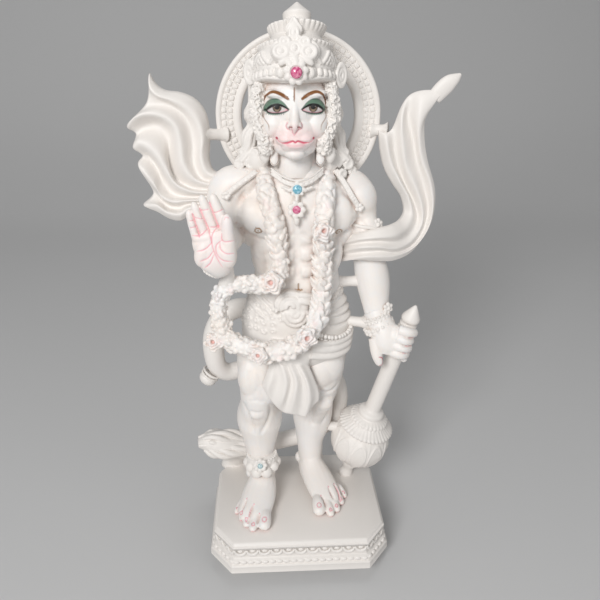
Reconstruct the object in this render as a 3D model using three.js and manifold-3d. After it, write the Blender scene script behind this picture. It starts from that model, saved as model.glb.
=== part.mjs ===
// A standing marble temple figure with a monkey's face, a halo, a flying scarf, a flower garland and
// a mace, carved in one block with its moulded plinth, and four glass stones let into it.
// Millimetres, +Z up. The figure faces -Y, and the origin is the middle of the plinth's underside.
import * as THREE from "three";
import { mergeVertices } from "three/addons/utils/BufferGeometryUtils.js";
import Module from "manifold-3d";

const wasm = await Module();
wasm.setup();

// Plinth
const PLINTH_WIDTH = 214;
const PLINTH_DEPTH = 182;
const PLINTH_HEIGHT = 38;
const PLINTH_TAPER = 8;
const CORNER_CUT_X = 26;
const CORNER_CUT_Y = 34;
const LEAF_PITCH = 16;
const LEAF_DROP = 8;
const LEAF_STAND = 3;

// Figure, from its soles to the tip of the crown
const FIGURE_HEIGHT = 572;

// Halo, a flat ring behind the head
const HALO_OUTER_RADIUS = 88.5;
const HALO_INNER_RADIUS = 61;
const HALO_THICKNESS = 13;

// Mace
const MACE_LENGTH = 276;
const MACE_PEG = 28;
const MACE_BALL_RADIUS = 36;
const MACE_HANDLE_RADIUS = 8.8;

// Thickness of carved hanging cloth, and of the struts left between thin limbs
const CLOTH_THICKNESS = 7;
const STRUT_RADIUS = 6;

// Round girdle radius of each inlaid stone, how far each is let in, and the play round it
const FOREHEAD_STONE_RADIUS = 5.4;
const COLLAR_STONE_RADIUS = 4.8;
const PENDANT_STONE_RADIUS = 4.2;
const ANKLET_STONE_RADIUS = 3.3;
const STONE_SETTING_DEPTH = 2;
const STONE_PLAY = 0.3;

// Least width of marble round a stone
const SETTING_RIM = 4.6;

// The free forms below are drawn in millimetres for a figure of this height, and scale with FIGURE_HEIGHT.
const DRAWN_HEIGHT = 572;
const FIGURE_SCALE = FIGURE_HEIGHT / DRAWN_HEIGHT;

// How far tidying a seam may move the marble's surface
const SEAM_TOLERANCE = 0.4;

// How deep a piece of the figure is sunk into what carries it, so that the two are one stone
const ROOT = 2;

const MARBLE = new THREE.MeshStandardMaterial({ color: 0xece7e1, roughness: 0.35, metalness: 0 });
const PINK_GLASS = new THREE.MeshStandardMaterial({ color: 0xd9468a, roughness: 0.12, metalness: 0 });
const BLUE_GLASS = new THREE.MeshStandardMaterial({ color: 0x5fb6d3, roughness: 0.12, metalness: 0 });
const PALE_GLASS = new THREE.MeshStandardMaterial({ color: 0xb4d3d8, roughness: 0.15, metalness: 0 });

const vec = (x, y, z) => new THREE.Vector3(x, y, z);

// A three.js shape with its seams closed, before it is bent or moved.
function sealed(geometry) {
  geometry.deleteAttribute("normal");
  geometry.deleteAttribute("uv");
  return mergeVertices(geometry, 1e-3);
}

function signedVolume(positions, index) {
  let sum = 0;
  for (let i = 0; i < index.length; i += 3) {
    const [a, b, c] = [0, 1, 2].map((k) => vec(...positions.slice(3 * index[i + k], 3 * index[i + k] + 3)));
    sum += a.dot(b.cross(c));
  }
  return sum;
}

// A sealed geometry as a solid facing out, which can be joined and cut.
function solid(geometry) {
  const vertProperties = geometry.attributes.position.array;
  const triVerts = new Uint32Array(geometry.index.array);
  if (signedVolume(vertProperties, triVerts) < 0) triVerts.reverse();
  return new wasm.Manifold(new wasm.Mesh({ numProp: 3, vertProperties, triVerts }));
}

const join = (shapes) => shapes.map(solid).reduce((whole, piece) => whole.add(piece));

function geometryOf(manifold) {
  const mesh = manifold.getMesh();
  const geometry = new THREE.BufferGeometry();
  geometry.setAttribute("position", new THREE.BufferAttribute(mesh.vertProperties, 3));
  geometry.setIndex(new THREE.BufferAttribute(mesh.triVerts, 1));
  return geometry;
}

// Joining leaves needless corners along every seam. One that can move to a neighbouring corner with all
// its faces staying within `tolerance` of where they were is closed up into it.
function tidied(manifold, tolerance) {
  const mesh = manifold.getMesh();
  const corner = (i) => vec(...mesh.vertProperties.slice(3 * i, 3 * i + 3));
  const points = Array.from({ length: mesh.vertProperties.length / 3 }, (_, i) => corner(i));
  const count = mesh.triVerts.length / 3;
  const faces = Array.from({ length: count }, (_, i) => [...mesh.triVerts.slice(3 * i, 3 * i + 3)]);
  const around = points.map(() => new Set());
  faces.forEach((face, i) => face.forEach((v) => around[v].add(i)));

  const ring = (v) => new Set([...around[v]].flatMap((i) => faces[i]).filter((w) => w !== v));
  const normal = ([a, b, c]) => {
    const side = vec().subVectors(points[b], points[a]);
    return side.cross(vec().subVectors(points[c], points[a]));
  };
  const closes = (v, onto, limit) => {
    const shared = [...ring(v)].filter((w) => ring(onto).has(w));
    if (shared.length !== 2) return false;
    return [...around[v]].every((i) => {
      const before = normal(faces[i]).normalize();
      if (Math.abs(before.dot(vec().subVectors(points[onto], points[v]))) > limit) return false;
      if (faces[i].includes(onto)) return true;
      const after = normal(faces[i].map((w) => (w === v ? onto : w)));
      return after.length() > 0.02 && after.normalize().dot(before) > 0.5;
    });
  };
  const close = (v, onto) => {
    for (const i of around[v]) {
      const gone = faces[i].includes(onto);
      if (gone) faces[i].forEach((w) => w !== v && around[w].delete(i));
      else around[onto].add(i);
      faces[i] = gone ? [] : faces[i].map((w) => (w === v ? onto : w));
    }
    around[v].clear();
  };
  for (const share of [0.1, 0.3, 0.6, 1, 1])
    for (let v = 0; v < points.length; v++) {
      const onto = [...ring(v)].find((w) => closes(v, w, tolerance * share));
      if (onto !== undefined) close(v, onto);
    }

  const geometry = new THREE.BufferGeometry().setFromPoints(points);
  geometry.setIndex(faces.flat());
  return mergeVertices(geometry.toNonIndexed(), 1e-4);
}

// A closed skin through rings of equally many points, capped at both ends.
function loft(rings) {
  const around = rings[0].length;
  const last = rings.length - 1;
  const positions = rings.flat().flatMap((p) => p.toArray());
  const index = [];
  for (let i = 0; i < last; i++)
    for (let j = 0; j < around; j++) {
      const k = (j + 1) % around;
      const [a, b, c, d] = [i * around + j, i * around + k, (i + 1) * around + j, (i + 1) * around + k];
      index.push(a, b, d, a, d, c);
    }
  for (const i of [0, last]) {
    const middle = rings[i].reduce((sum, p) => sum.add(p), vec(0, 0, 0)).divideScalar(around);
    const centre = positions.length / 3;
    positions.push(...middle.toArray());
    for (let j = 0; j < around; j++) {
      const [a, b] = [i * around + j, i * around + ((j + 1) % around)];
      index.push(centre, i ? a : b, i ? b : a);
    }
  }
  const geometry = new THREE.BufferGeometry();
  geometry.setAttribute("position", new THREE.Float32BufferAttribute(positions, 3));
  geometry.setIndex(index);
  return geometry;
}

const spline = (points) =>
  new THREE.CatmullRomCurve3(points.map(([x, y, z]) => vec(x, y, z)), false, "centripetal");

// A tapering limb through stations [x, y, z, radius sideways, radius front to back]. `facing` is the way
// its front points, and `swell` changes the radius at a share of the length and an angle. The corners
// stand out far enough for the faceted section to have the round one's area.
function limb(stations, { sides = 7, steps = 1, facing = vec(0, -1, 0), swell = () => 1 } = {}) {
  const corner = Math.sqrt((2 * Math.PI) / sides / Math.sin((2 * Math.PI) / sides));
  const spine = spline(stations);
  const radii = spline(stations.map((s) => [s[3], s[4] ?? s[3], 0]));
  const count = (stations.length - 1) * steps;
  const rings = [];
  for (let i = 0; i <= count; i++) {
    const t = i / count;
    const centre = spine.getPoint(t);
    const along = spine.getTangent(t);
    const side = vec().crossVectors(facing, along).normalize();
    const depth = vec().crossVectors(along, side);
    const radius = radii.getPoint(t);
    rings.push(
      Array.from({ length: sides }, (_, j) => {
        const angle = (2 * Math.PI * j) / sides;
        const grow = corner * swell(t, angle, i);
        return centre
          .clone()
          .addScaledVector(side, Math.cos(angle) * radius.x * grow)
          .addScaledVector(depth, Math.sin(angle) * radius.y * grow);
      }),
    );
  }
  return loft(rings);
}

// A straight bar between two stations.
const bar = (from, to, sides) => limb([from, to], { sides, facing: vec(0, 0, 1) });

// A faceted ellipsoid at [x, y, z], as large as the round one with radii [rx, ry, rz], leaning about Y.
function lump([x, y, z], [rx, ry, rz], { around = 7, rows = 5, lean = 0 } = {}) {
  const ball = sealed(new THREE.SphereGeometry(1, around, rows)).rotateX(Math.PI / 2);
  const grow = Math.cbrt((8 * Math.PI) / signedVolume(ball.attributes.position.array, ball.index.array));
  return ball.scale(rx * grow, ry * grow, rz * grow).rotateY(lean).translate(x, y, z);
}

// A turned form: profile points [radius, height] round +Z, laid along `axis` from `base`. `wave` changes
// the radius at a height and a corner of the section.
function turned(profile, { base = [0, 0, 0], axis = [0, 0, 1], segments = 16, oval = 1, wave } = {}) {
  const outline = profile.map(([r, h]) => new THREE.Vector2(r, h));
  const lathe = sealed(new THREE.LatheGeometry(outline, segments)).rotateX(Math.PI / 2);
  const p = lathe.attributes.position;
  for (let i = 0; i < p.count; i++) {
    const seam = Math.round((Math.atan2(p.getY(i), p.getX(i)) * segments) / (2 * Math.PI));
    const grow = wave ? wave(p.getZ(i), seam) : 1;
    p.setXY(i, p.getX(i) * grow, p.getY(i) * grow * oval);
  }
  const aim = new THREE.Quaternion().setFromUnitVectors(vec(0, 0, 1), vec(...axis).normalize());
  return lathe.applyQuaternion(aim).translate(...base);
}

// A thick sheet between flow lines. Each line is a list of points, and folds ripple across them.
function sheet(lines, { across, along, folds, ripple, shorten = 0, thickness = CLOTH_THICKNESS }) {
  const curves = lines.map(spline);
  const face = (u, v, offset) => {
    const wave = Math.cos(2 * Math.PI * folds * u);
    const reach = v * (1 - (shorten * (1 - wave)) / 2);
    const cross = spline(curves.map((curve) => curve.getPoint(reach).toArray()));
    const thin = 0.35 + 0.65 * Math.sin(Math.PI * (0.15 + 0.7 * u));
    const shift = offset * thickness * thin - ripple * wave * Math.sin((Math.PI / 2) * Math.min(1, 2 * v));
    return cross.getPoint(u).add(vec(0, shift, 0));
  };
  const rings = [];
  for (let j = 0; j <= along; j++) {
    const v = j / along;
    const ring = [];
    for (let i = 0; i <= across; i++) ring.push(face(i / across, v, -0.5));
    for (let i = across; i >= 0; i--) ring.push(face(i / across, v, 0.5));
    rings.push(ring);
  }
  return loft(rings);
}

const mirrorX = (point) => [-point[0], ...point.slice(1)];

// Plinth: an oblong with cut corners, a plain slab, a bead course, a hollow with lobes and a stepped top

// The outline drawn in by `inset` on every side, the cut corners moving in by as much.
function plinthOutline(inset) {
  const [w, d] = [PLINTH_WIDTH / 2 - inset, PLINTH_DEPTH / 2 - inset];
  const slope = Math.hypot(CORNER_CUT_X, CORNER_CUT_Y);
  const height = (CORNER_CUT_X * CORNER_CUT_Y) / slope;
  const keep = 1 - (inset * ((CORNER_CUT_X + CORNER_CUT_Y) / slope - 1)) / height;
  const [cx, cy] = [CORNER_CUT_X * keep, CORNER_CUT_Y * keep];
  return [
    [w, -d + cy], [w, d - cy], [w - cx, d], [-w + cx, d],
    [-w, d - cy], [-w, -d + cy], [-w + cx, -d], [w - cx, -d],
  ];
}

// Each course is [share of the taper, share of the height].
const PLINTH_COURSES = [
  [0, 0], [0, 0.23], [0.4, 0.27], [0.2, 0.34], [0.4, 0.42],
  [0.95, 0.46], [0.95, 0.78], [0.6, 0.81], [0.6, 0.9], [1, 1],
];
const LEAF_TOP = 0.8;

function plinth() {
  const rings = PLINTH_COURSES.map(([inset, height]) =>
    plinthOutline(inset * PLINTH_TAPER).map(([x, y]) => vec(x, y, height * PLINTH_HEIGHT)),
  );
  return [loft(rings), leafBand()];
}

// A band stands out from the hollow, and its lower edge falls in a point at every leaf.
function leafBand() {
  const outline = plinthOutline(PLINTH_TAPER - LEAF_STAND);
  const stations = outline.flatMap(([x, y], i) => {
    const [nextX, nextY] = outline[(i + 1) % outline.length];
    const leaves = Math.max(1, Math.round(Math.hypot(nextX - x, nextY - y) / LEAF_PITCH));
    return Array.from({ length: 2 * leaves }, (_, k) => {
      const share = k / (2 * leaves);
      return [x + (nextX - x) * share, y + (nextY - y) * share, k % 2];
    });
  });
  const top = PLINTH_HEIGHT * LEAF_TOP;
  return loft([
    stations.map(([x, y, tip]) => vec(x, y, top - 1 - LEAF_DROP * tip)),
    stations.map(([x, y]) => vec(x, y, top)),
  ]);
}

// Legs and feet

const RIGHT_LEG = [
  [-46, 18, 6, 15, 18], [-46, 11, 38, 14, 17], [-46, 16, 62, 19, 22], [-46, 19, 86, 27, 27],
  [-47, 9, 110, 24, 23], [-47, 2, 132, 23.5, 25], [-44, 4, 160, 29, 30], [-36, 14, 208, 33, 35],
];
const LEFT_LEG = [
  [18, 46, 6, 14, 18], [18, 38, 38, 13.5, 17], [21, 41, 62, 18.5, 21], [23, 41, 84, 25, 25],
  [24, 27, 106, 22, 21], [26, 19, 124, 22, 23], [28, 16, 155, 27.5, 28], [30, 15, 208, 33, 34],
];

// In the foot's own frame the heel is near the origin, the toes point to -Y and the big toe is at +X.
const FOOT = [
  [0, 6, 10, 12, 10], [0, -24, 19, 16, 20], [-1, -46, 12, 19, 13], [-3, -66, 8, 21, 9],
  [-4, -78, 6, 18, 6],
];
const TOES = [[12.5, -100, 7.4], [1, -99, 5.2], [-8, -93, 4.9], [-16.5, -85, 4.6], [-24, -75, 4.4]];

function foot([x, y], outward, bigToeSide) {
  const toes = TOES.map(([across, tip, r]) =>
    limb([[across, tip + 22, r, r * 1.05], [across, tip + 6, r, r], [across, tip + 1, r * 0.66, r * 0.6]], {
      sides: 6, facing: vec(0, 0, 1),
    }),
  );
  const place = (shape) => shape.scale(bigToeSide, 1, 1).rotateZ(outward).translate(x, y, -ROOT / 2);
  return [limb(FOOT, { facing: vec(0, 0, 1) }), ...toes].map(place);
}

function legs() {
  return [
    limb(RIGHT_LEG, { sides: 9 }),
    limb(LEFT_LEG, { sides: 9 }),
    lump([-47, -14, 130], [12, 10, 13]),
    lump([25, 4, 123], [11, 9, 12]),
    ...foot([-41, 28], -0.16, 1),
    ...foot([16, 57], 0.28, -1),
  ];
}

// Trunk, arms and hands

const TRUNK = [
  [0, 14, 188, 52, 31], [0, 14, 208, 63, 38], [0, 13, 240, 61, 37], [0, 12, 275, 52, 32],
  [0, 12, 305, 46.5, 28], [0, 12, 335, 51, 30], [0, 13, 366, 61, 34], [0, 15, 392, 55, 31],
  [-1, 15, 416, 26, 22], [-1, 7, 445, 20, 20],
];
const BELLY_ROWS = [345, 326, 307];
const RIGHT_UPPER_ARM = [
  [-52, 18, 397, 17, 19], [-71, 17, 386, 20, 20], [-80, 14, 360, 17, 18], [-80, 9, 334, 12, 13],
];
const RIGHT_FOREARM = [
  [-80, 17, 344, 12, 12], [-81, -6, 344, 16.5, 16], [-84, -36, 340, 14, 12], [-86, -56, 336, 13, 11],
];
const LEFT_ARM = [
  [50, 18, 398, 17, 19], [65, 18, 386, 19.5, 20], [74, 18, 352, 16, 17.5], [81, 18, 314, 17, 18],
  [87, 14, 286, 19.5, 19.5], [91, 0, 250, 14, 13], [95, -8, 228, 13, 11],
];
const RAISED_PALM = [
  [-84, -60, 324, 13, 7], [-85.5, -63, 340, 21.5, 10], [-87, -62, 358, 22, 9], [-88, -61, 370, 19.5, 6],
];

// Raised fingers as [base, tip, radius], the index finger first and the thumb last
const RAISED_FINGERS = [
  [[-74, -61, 364], [-81, -60, 396], 4.7], [[-83, -61, 364], [-90.5, -60, 400], 4.8],
  [[-92, -61, 361], [-99, -60, 394], 4.6], [[-100, -61, 358], [-105, -60, 384], 4.3],
  [[-68, -64, 346], [-66.5, -68, 378], 5.6],
];
// Fingers of the other hand wrap the mace's handle, as [knuckle, tip] beside it.
const GRIP_FINGERS = [
  [[110, -28, 238], [132, -9, 231]], [[110, -28, 227], [131, -9, 219]],
  [[108, -27, 215], [128, -8, 207]], [[105, -26, 204], [124, -7, 196]],
];

const finger = (from, to, r) => {
  const tip = to.map((c, i) => c + (c - from[i]) * 0.1);
  return limb([[...from, r], [...to, r * 0.9], [...tip, r * 0.45]], { sides: 6 });
};

function trunk() {
  return [
    limb(TRUNK, { sides: 14 }),
    lump([-28, -7, 366], [29, 14, 20], { around: 9 }),
    lump([28, -7, 365], [29, 14, 20], { around: 9 }),
    lump([-32, 32, 385], [26, 12, 26]),
    lump([32, 32, 385], [26, 12, 26]),
    ...BELLY_ROWS.flatMap((z) => [-9.5, 9.5].map((x) => lump([x, -14, z], [10.5, 6, 9.5]))),
  ];
}

function arms() {
  return [
    limb(RIGHT_UPPER_ARM),
    limb(RIGHT_FOREARM, { facing: vec(0, 0, 1) }),
    limb(LEFT_ARM, { sides: 8 }),
    limb(RAISED_PALM),
    ...RAISED_FINGERS.map(([from, to, r]) => finger(from, to, r)),
    lump([102, -14, 218], [19, 13, 25], { lean: 0.2 }),
    ...GRIP_FINGERS.map(([from, to]) => bar([...from, 5.4], [...to, 5], 6)),
    limb([[94, -16, 214, 7.5], [92, -12, 190, 4.6]], { sides: 6 }),
  ];
}

// Head, hair, crown and halo

const HEAD = [-2.5, 0, 0];
const HALO_CENTRE = [4, 45, 463];
const CROWN = [
  [0, 572], [13, 560.5], [13, 557], [10, 552.5], [28, 551], [29, 547], [25, 540], [37, 534], [36, 528],
  [33, 525], [43, 516], [46, 503], [43, 495], [0, 495],
];
const isFluted = (z) => (z > 545 && z < 552) || (z > 527 && z < 537);
const LONG_HAIR = [
  [-41, 22, 500, 9, 14], [-47, 24, 478, 9, 15], [-43, 24, 458, 7.5, 15], [-49, 25, 438, 9, 16],
  [-44, 24, 418, 8, 15], [-50, 26, 402, 8, 14],
];
const WHISKERS = [
  [-37, -6, 500, 6, 10], [-38, -9, 474, 6.5, 11], [-33, -14, 448, 7, 10], [-27, -12, 426, 6, 7],
];
const NOSE = [[0, -33, 490, 3, 4], [0, -37, 470, 3.5, 5], [0, -39, 457, 6.5, 6], [0, -37, 452, 3, 3]];
const wavy = (t, angle, i) => (i % 2 ? 0.9 : 1.1);

function head() {
  const locks = [LONG_HAIR, WHISKERS].flatMap((stations) => [stations, stations.map(mirrorX)]);
  return [
    lump([0, 6, 479], [39, 42, 41], { around: 14, rows: 8 }),
    lump([0, -9, 453], [28, 29, 26], { around: 12, rows: 7 }),
    lump([0, -26, 447], [18, 14, 12], { around: 10, rows: 6 }),
    limb(NOSE, { sides: 5 }),
    lump([-17.5, -29, 479], [10.5, 7, 6], { around: 8 }),
    lump([17.5, -29, 479], [10.5, 7, 6], { around: 8 }),
    ...locks.map((stations) => limb(stations, { sides: 6, steps: 2, swell: wavy })),
  ].map((shape) => shape.translate(...HEAD));
}

// Petals round a flower with an even count of corners
const petals = (z, k) => (k % 2 ? 0.84 : 1);

function crown() {
  const rosette = FOREHEAD_STONE_RADIUS + SETTING_RIM * 1.4;
  return [
    turned(CROWN, { segments: 20, oval: 0.96, wave: (z, k) => (isFluted(z) && k % 2 ? 0.9 : 1) }),
    turned([[0, -6], [rosette, -6], [rosette, 2], [0, 6]], {
      base: [0, -44, 511], axis: [0, -1, 0.1], segments: 10, wave: petals,
    }),
    turned([[0, -8], [17, -8], [17, 0], [0, 4]], {
      base: [0, -34, 530], axis: [0, -1, 0.3], segments: 10, wave: petals,
    }),
    limb([[0, -30, 542, 10, 6], [0, -27, 558, 1.5, 1.5]], { sides: 6 }),
    lump([-42, -8, 505], [7, 10, 11]),
    lump([42, -8, 505], [7, 10, 11]),
  ].map((shape) => shape.translate(...HEAD));
}

// The halo is a ring, a little dished in front between its rims.
function halo() {
  const [inner, outer, half] = [HALO_INNER_RADIUS, HALO_OUTER_RADIUS, HALO_THICKNESS / 2];
  const [middle, sunk] = [(inner + outer) / 2, half - HALO_THICKNESS * 0.15];
  const profile = [
    [inner, -half], [inner, half], [middle, sunk], [outer, half], [outer, -half], [inner, -half],
  ];
  return [turned(profile, { base: HALO_CENTRE, axis: [0, -1, 0], segments: 34 })];
}

// Scarf ends. The flow lines of each run along the folds' crests, from the arm out to the flying edge.

const SCARF_OVER_RAISED_ARM = [
  [
    [-80, 24, 406], [-89, 30, 424], [-92, 34, 446], [-98, 33, 468], [-118, 30, 484], [-140, 28, 492],
    [-150, 28, 507],
  ],
  [[-82, 22, 402], [-98, 22, 422], [-106, 26, 444], [-116, 27, 462], [-134, 26, 474], [-161, 26, 480]],
  [[-84, 20, 397], [-107, 18, 410], [-119, 22, 432], [-129, 24, 449], [-146, 24, 455], [-177, 24, 457]],
  [[-84, 18, 391], [-110, 14, 394], [-128, 18, 408], [-140, 21, 424], [-154, 22, 433], [-173, 23, 433]],
  [[-84, 16, 385], [-106, 11, 379], [-129, 14, 385], [-144, 18, 398], [-155, 20, 408], [-168, 22, 412]],
  [[-84, 15, 377], [-100, 10, 364], [-118, 10, 356], [-136, 12, 361], [-148, 13, 369], [-165, 14, 377]],
];
const SCARF_OVER_LOW_ARM = [
  [
    [46, 22, 327], [62, 0, 341], [82, -6, 345], [102, 8, 346], [116, 24, 353], [118, 31, 373],
    [108, 33, 394], [99, 34, 413], [93, 34, 434], [91, 34, 453],
  ],
  [
    [46, 20, 320], [64, -3, 334], [84, -9, 337], [106, 4, 337], [128, 22, 350], [130, 30, 376],
    [120, 32, 404], [113, 32, 428], [111, 32, 454], [122, 31, 490],
  ],
  [
    [46, 18, 313], [66, -5, 326], [86, -11, 327], [110, 0, 327], [138, 20, 343], [142, 28, 376],
    [133, 30, 408], [125, 30, 438], [130, 29, 470], [150, 28, 497],
  ],
  [
    [46, 17, 306], [68, -6, 317], [90, -9, 314], [118, 6, 316], [146, 20, 336], [156, 28, 380],
    [149, 28, 408], [139, 28, 443], [146, 28, 474], [173, 27, 507],
  ],
];

// The same scarf between its two ends: across the back, and over the raised arm's shoulder
const SCARF_BACK = [
  [-74, 30, 394, 14, 6], [-50, 44, 396, 12, 6], [-10, 50, 378, 12, 5], [26, 45, 344, 12, 5],
  [50, 22, 314, 12, 5],
];
const SCARF_SHOULDER = [
  [-80, 10, 396, 9, 11], [-62, -1, 398, 8, 11], [-40, 6, 413, 6, 8], [-28, 16, 416, 5, 7],
];

function scarves() {
  return [
    sheet(SCARF_OVER_RAISED_ARM, { across: 20, along: 5, folds: 5, ripple: 4.5, shorten: 0.12 }),
    sheet(SCARF_OVER_LOW_ARM, { across: 6, along: 10, folds: 3, ripple: 3.2, shorten: 0.03 }),
    limb(SCARF_BACK, { sides: 4, facing: vec(0, 0, 1) }),
    limb(SCARF_SHOULDER, { sides: 4 }),
  ];
}

// Waist cloth, its hanging end and its knot

const FLAP = [
  [[-34, -22, 206], [-39, -24, 186], [-40, -26, 176], [-38, -28, 164]],
  [[-20, -28, 208], [-26, -32, 178], [-28, -34, 160], [-24, -33, 146]],
  [[-4, -30, 208], [-6, -37, 176], [-8, -36, 152], [-8, -33, 139]],
  [[10, -28, 208], [12, -35, 172], [12, -33, 150], [10, -30, 135]],
  [[24, -22, 208], [30, -24, 186], [31, -24, 172], [27, -24, 160]],
];

// Bands of the waist cloth drawn slanting over the left hip
const HIP_BANDS = [
  [[20, -20, 278, 5], [44, -8, 264, 5], [57, 14, 258, 5]],
  [[18, -22, 256, 5], [44, -12, 240, 6], [62, 12, 232, 5]],
];

function waistCloth() {
  const thickness = CLOTH_THICKNESS * 1.4;
  return [
    sheet(FLAP, { across: 8, along: 4, folds: 4, ripple: 2.5, shorten: 0.08, thickness }),
    limb([[-4, -27, 222, 26, 9], [-4, -28, 196, 25, 9]], { sides: 6 }),
    hemRoll([30, 15, 205], 36.5),
    hemRoll([30, 15, 195], 35.5),
    ...HIP_BANDS.map((band) => limb(band, { sides: 5 })),
    lump([-10, -28, 264], [15, 9, 11], { lean: 0.3 }),
    limb([[-11, -29, 264, 11, 7], [-2, -30, 228, 11, 7]], { sides: 5 }),
  ];
}

function hemRoll([x, y, z], radius) {
  const roll = sealed(new THREE.TorusGeometry(radius - 3, 5, 4, 9));
  return roll.rotateX(-0.12).translate(x, y, z);
}

// Flower garland: a ruffled rope from the neck, carried out to the side over the raised arm's wrist

const GARLAND = [
  [-34, 8, 412, 9], [-30, -17, 392, 10], [-22, -26, 362, 11], [-18, -25, 334, 11], [-18, -27, 310, 11],
  [-34, -36, 299, 11], [-56, -38, 298, 10], [-74, -37, 291, 9.5], [-80, -35, 270, 9], [-78, -38, 246, 10.5],
  [-60, -43, 232, 12.5], [-36, -46, 226, 13], [-10, -45, 229, 12.5], [10, -40, 241, 11.5],
  [22, -32, 262, 10.5], [25, -26, 290, 10.5], [26, -25, 320, 10.5], [26, -27, 350, 10.5],
  [28, -22, 380, 10.5], [33, 8, 410, 9],
];
const ROSES = [[24, -38, 356], [-28, -44, 303], [6, -53, 244], [-44, -57, 228], [-92, -42, 238]];

function garland() {
  const ruffle = (t, angle, i) => (i % 2 ? 1.08 : 0.84) + 0.06 * Math.cos(3 * angle + i);
  const roses = ROSES.map((at) =>
    turned([[0, -8], [12.5, 0], [0, 4]], {
      base: at, axis: [0, -1, 0.15], segments: 8, wave: petals,
    }),
  );
  return [limb(GARLAND, { sides: 6, steps: 2, swell: ruffle }), ...roses];
}

// Tail: out to the side, back behind the thighs, down beside the calf and along the plinth to its tuft

const TAIL = [
  [-10, 42, 216, 11], [-42, 48, 234, 12], [-68, 43, 241, 12], [-90, 37, 232, 12], [-103, 34, 211, 13],
  [-105, 33, 187, 13.5], [-98, 34, 167, 12], [-84, 39, 158, 11], [-58, 46, 160, 11], [-20, 52, 162, 11],
  [25, 55, 160, 10.5], [49, 53, 142, 10], [58, 51, 116, 9.5], [54, 53, 88, 10], [38, 58, 64, 10.5],
  [10, 62, 48, 11], [-20, 61, 41, 11], [-52, 57, 37, 12],
];
const TUFT = [
  [-50, 57, 35, 11, 12], [-74, 54, 40, 15, 17], [-94, 50, 48, 18, 20], [-112, 47, 54, 14, 16],
  [-127, 45, 55, 5, 7],
];

function tail() {
  return [
    limb(TAIL, { sides: 6 }),
    limb(TUFT, { sides: 8, steps: 2, swell: (t, angle, i) => 1 + 0.1 * Math.cos(4 * angle + i) }),
    lump([-84, 58, 14], [20, 17, 26]),
    lump([-106, 33, 156], [12, 11, 9], { lean: 0.5 }),
  ];
}

// Mace, leaning from its foot on the plinth up to the lowered hand

const MACE_FOOT = [68, 42, 0];
const MACE_LEAN = [0.236, -0.194, 0.952];

function mace() {
  const r = MACE_BALL_RADIUS;
  const grip = MACE_HANDLE_RADIUS;
  const top = MACE_LENGTH;
  const ball = MACE_PEG + r;
  const profile = [
    [0, -6], [8, -6], [8, MACE_PEG / 2], [10, MACE_PEG], [r * 0.5, ball - r * 0.94],
    [r * 0.84, ball - r * 0.6], [r, ball], [r * 0.84, ball + r * 0.66], [r * 0.9, ball + r * 0.75],
    [r * 0.62, ball + r * 0.97], [r * 0.6, ball + r * 1.14], [r * 0.42, ball + r * 1.22],
    [r * 0.4, ball + r * 1.42], [grip, ball + r * 1.5], [grip, top - 30], [grip * 0.77, top - 26],
    [grip, top - 13], [0, top],
  ];
  const ribs = (z, k) => (Math.abs(z - ball) < r * 0.63 && k % 2 ? 0.95 : 1);
  return [turned(profile, { base: MACE_FOOT, axis: MACE_LEAN, segments: 16, wave: ribs })];
}

// Bracelets, anklet, collar, shoulder straps and the setting of each stone

const bangle = (base, axis, radius, width, thick) =>
  turned([[0, -width], [radius + thick, -width], [radius + thick, width], [0, width]], {
    base, axis, segments: 9,
  });

// Each stone: [centre of its seat, the way it faces]
const FOREHEAD_SEAT = [[HEAD[0], -50, 511.5], [0, -1, 0.1]];
const COLLAR_SEAT = [[-0.5, -24, 398], [0, -1, 0.2]];
const PENDANT_SEAT = [[-1.5, -29, 378], [0, -1, 0.05]];
const ANKLET_SEAT = [[-46, -17, 57], [0, -1, 0.25]];

function ornaments() {
  const flower = ([base, axis], stone) => {
    const radius = stone + SETTING_RIM;
    return turned([[0, -12], [radius, -12], [radius, 0], [0, 0]], {
      base, axis, segments: 10, wave: petals,
    });
  };
  const beads = (points) => limb(points, { sides: 4 });
  return [
    bangle([-85, -52, 337], [0, -1, 0], 13, 4, 3.5),
    bangle([92, -4, 240], [0.2, -0.35, -0.92], 13.5, 6, 4.5),
    bangle([-46, 11, 52], [0, 0.1, 1], 17, 7, 5),
    lump([-54, -10, 41], [9, 8, 9], { rows: 3 }),
    lump([-38, -10, 40], [9, 8, 9], { rows: 3 }),
    flower(COLLAR_SEAT, COLLAR_STONE_RADIUS),
    flower(PENDANT_SEAT, PENDANT_STONE_RADIUS),
    flower(ANKLET_SEAT, ANKLET_STONE_RADIUS),
    beads([[-22, -11, 412, 3], [0, -21, 401, 4], [22, -11, 412, 3]]),
    beads([[-42, 3, 406, 3], [-60, -7, 374, 5]]),
    beads([[42, 4, 410, 3], [60, -7, 374, 5]]),
    lump([86, 10, 352], [8, 9, 9], { rows: 3 }),
  ];
}

// Struts that the carver left between thin limbs

function struts() {
  const strut = (from, to) => bar([...from, STRUT_RADIUS], [...to, STRUT_RADIUS], 5);
  return [
    strut([-74, 43, 444], [-98, 32, 446]),
    strut([84, 42, 448], [100, 36, 448]),
    strut([44, 14, 283], [76, 14, 284]),
    strut([52, 8, 238], [84, -2, 238]),
    strut([22, 37, 80], [62, 34, 76]),
    limb([[-85, -52, 330, 12, 10], [-80, -44, 314, 9, 8], [-78, -38, 298, 11, 9]], { sides: 5 }),
  ];
}

// Inlaid stones: a low dome on a short straight girdle, in a pocket with a little play

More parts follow.
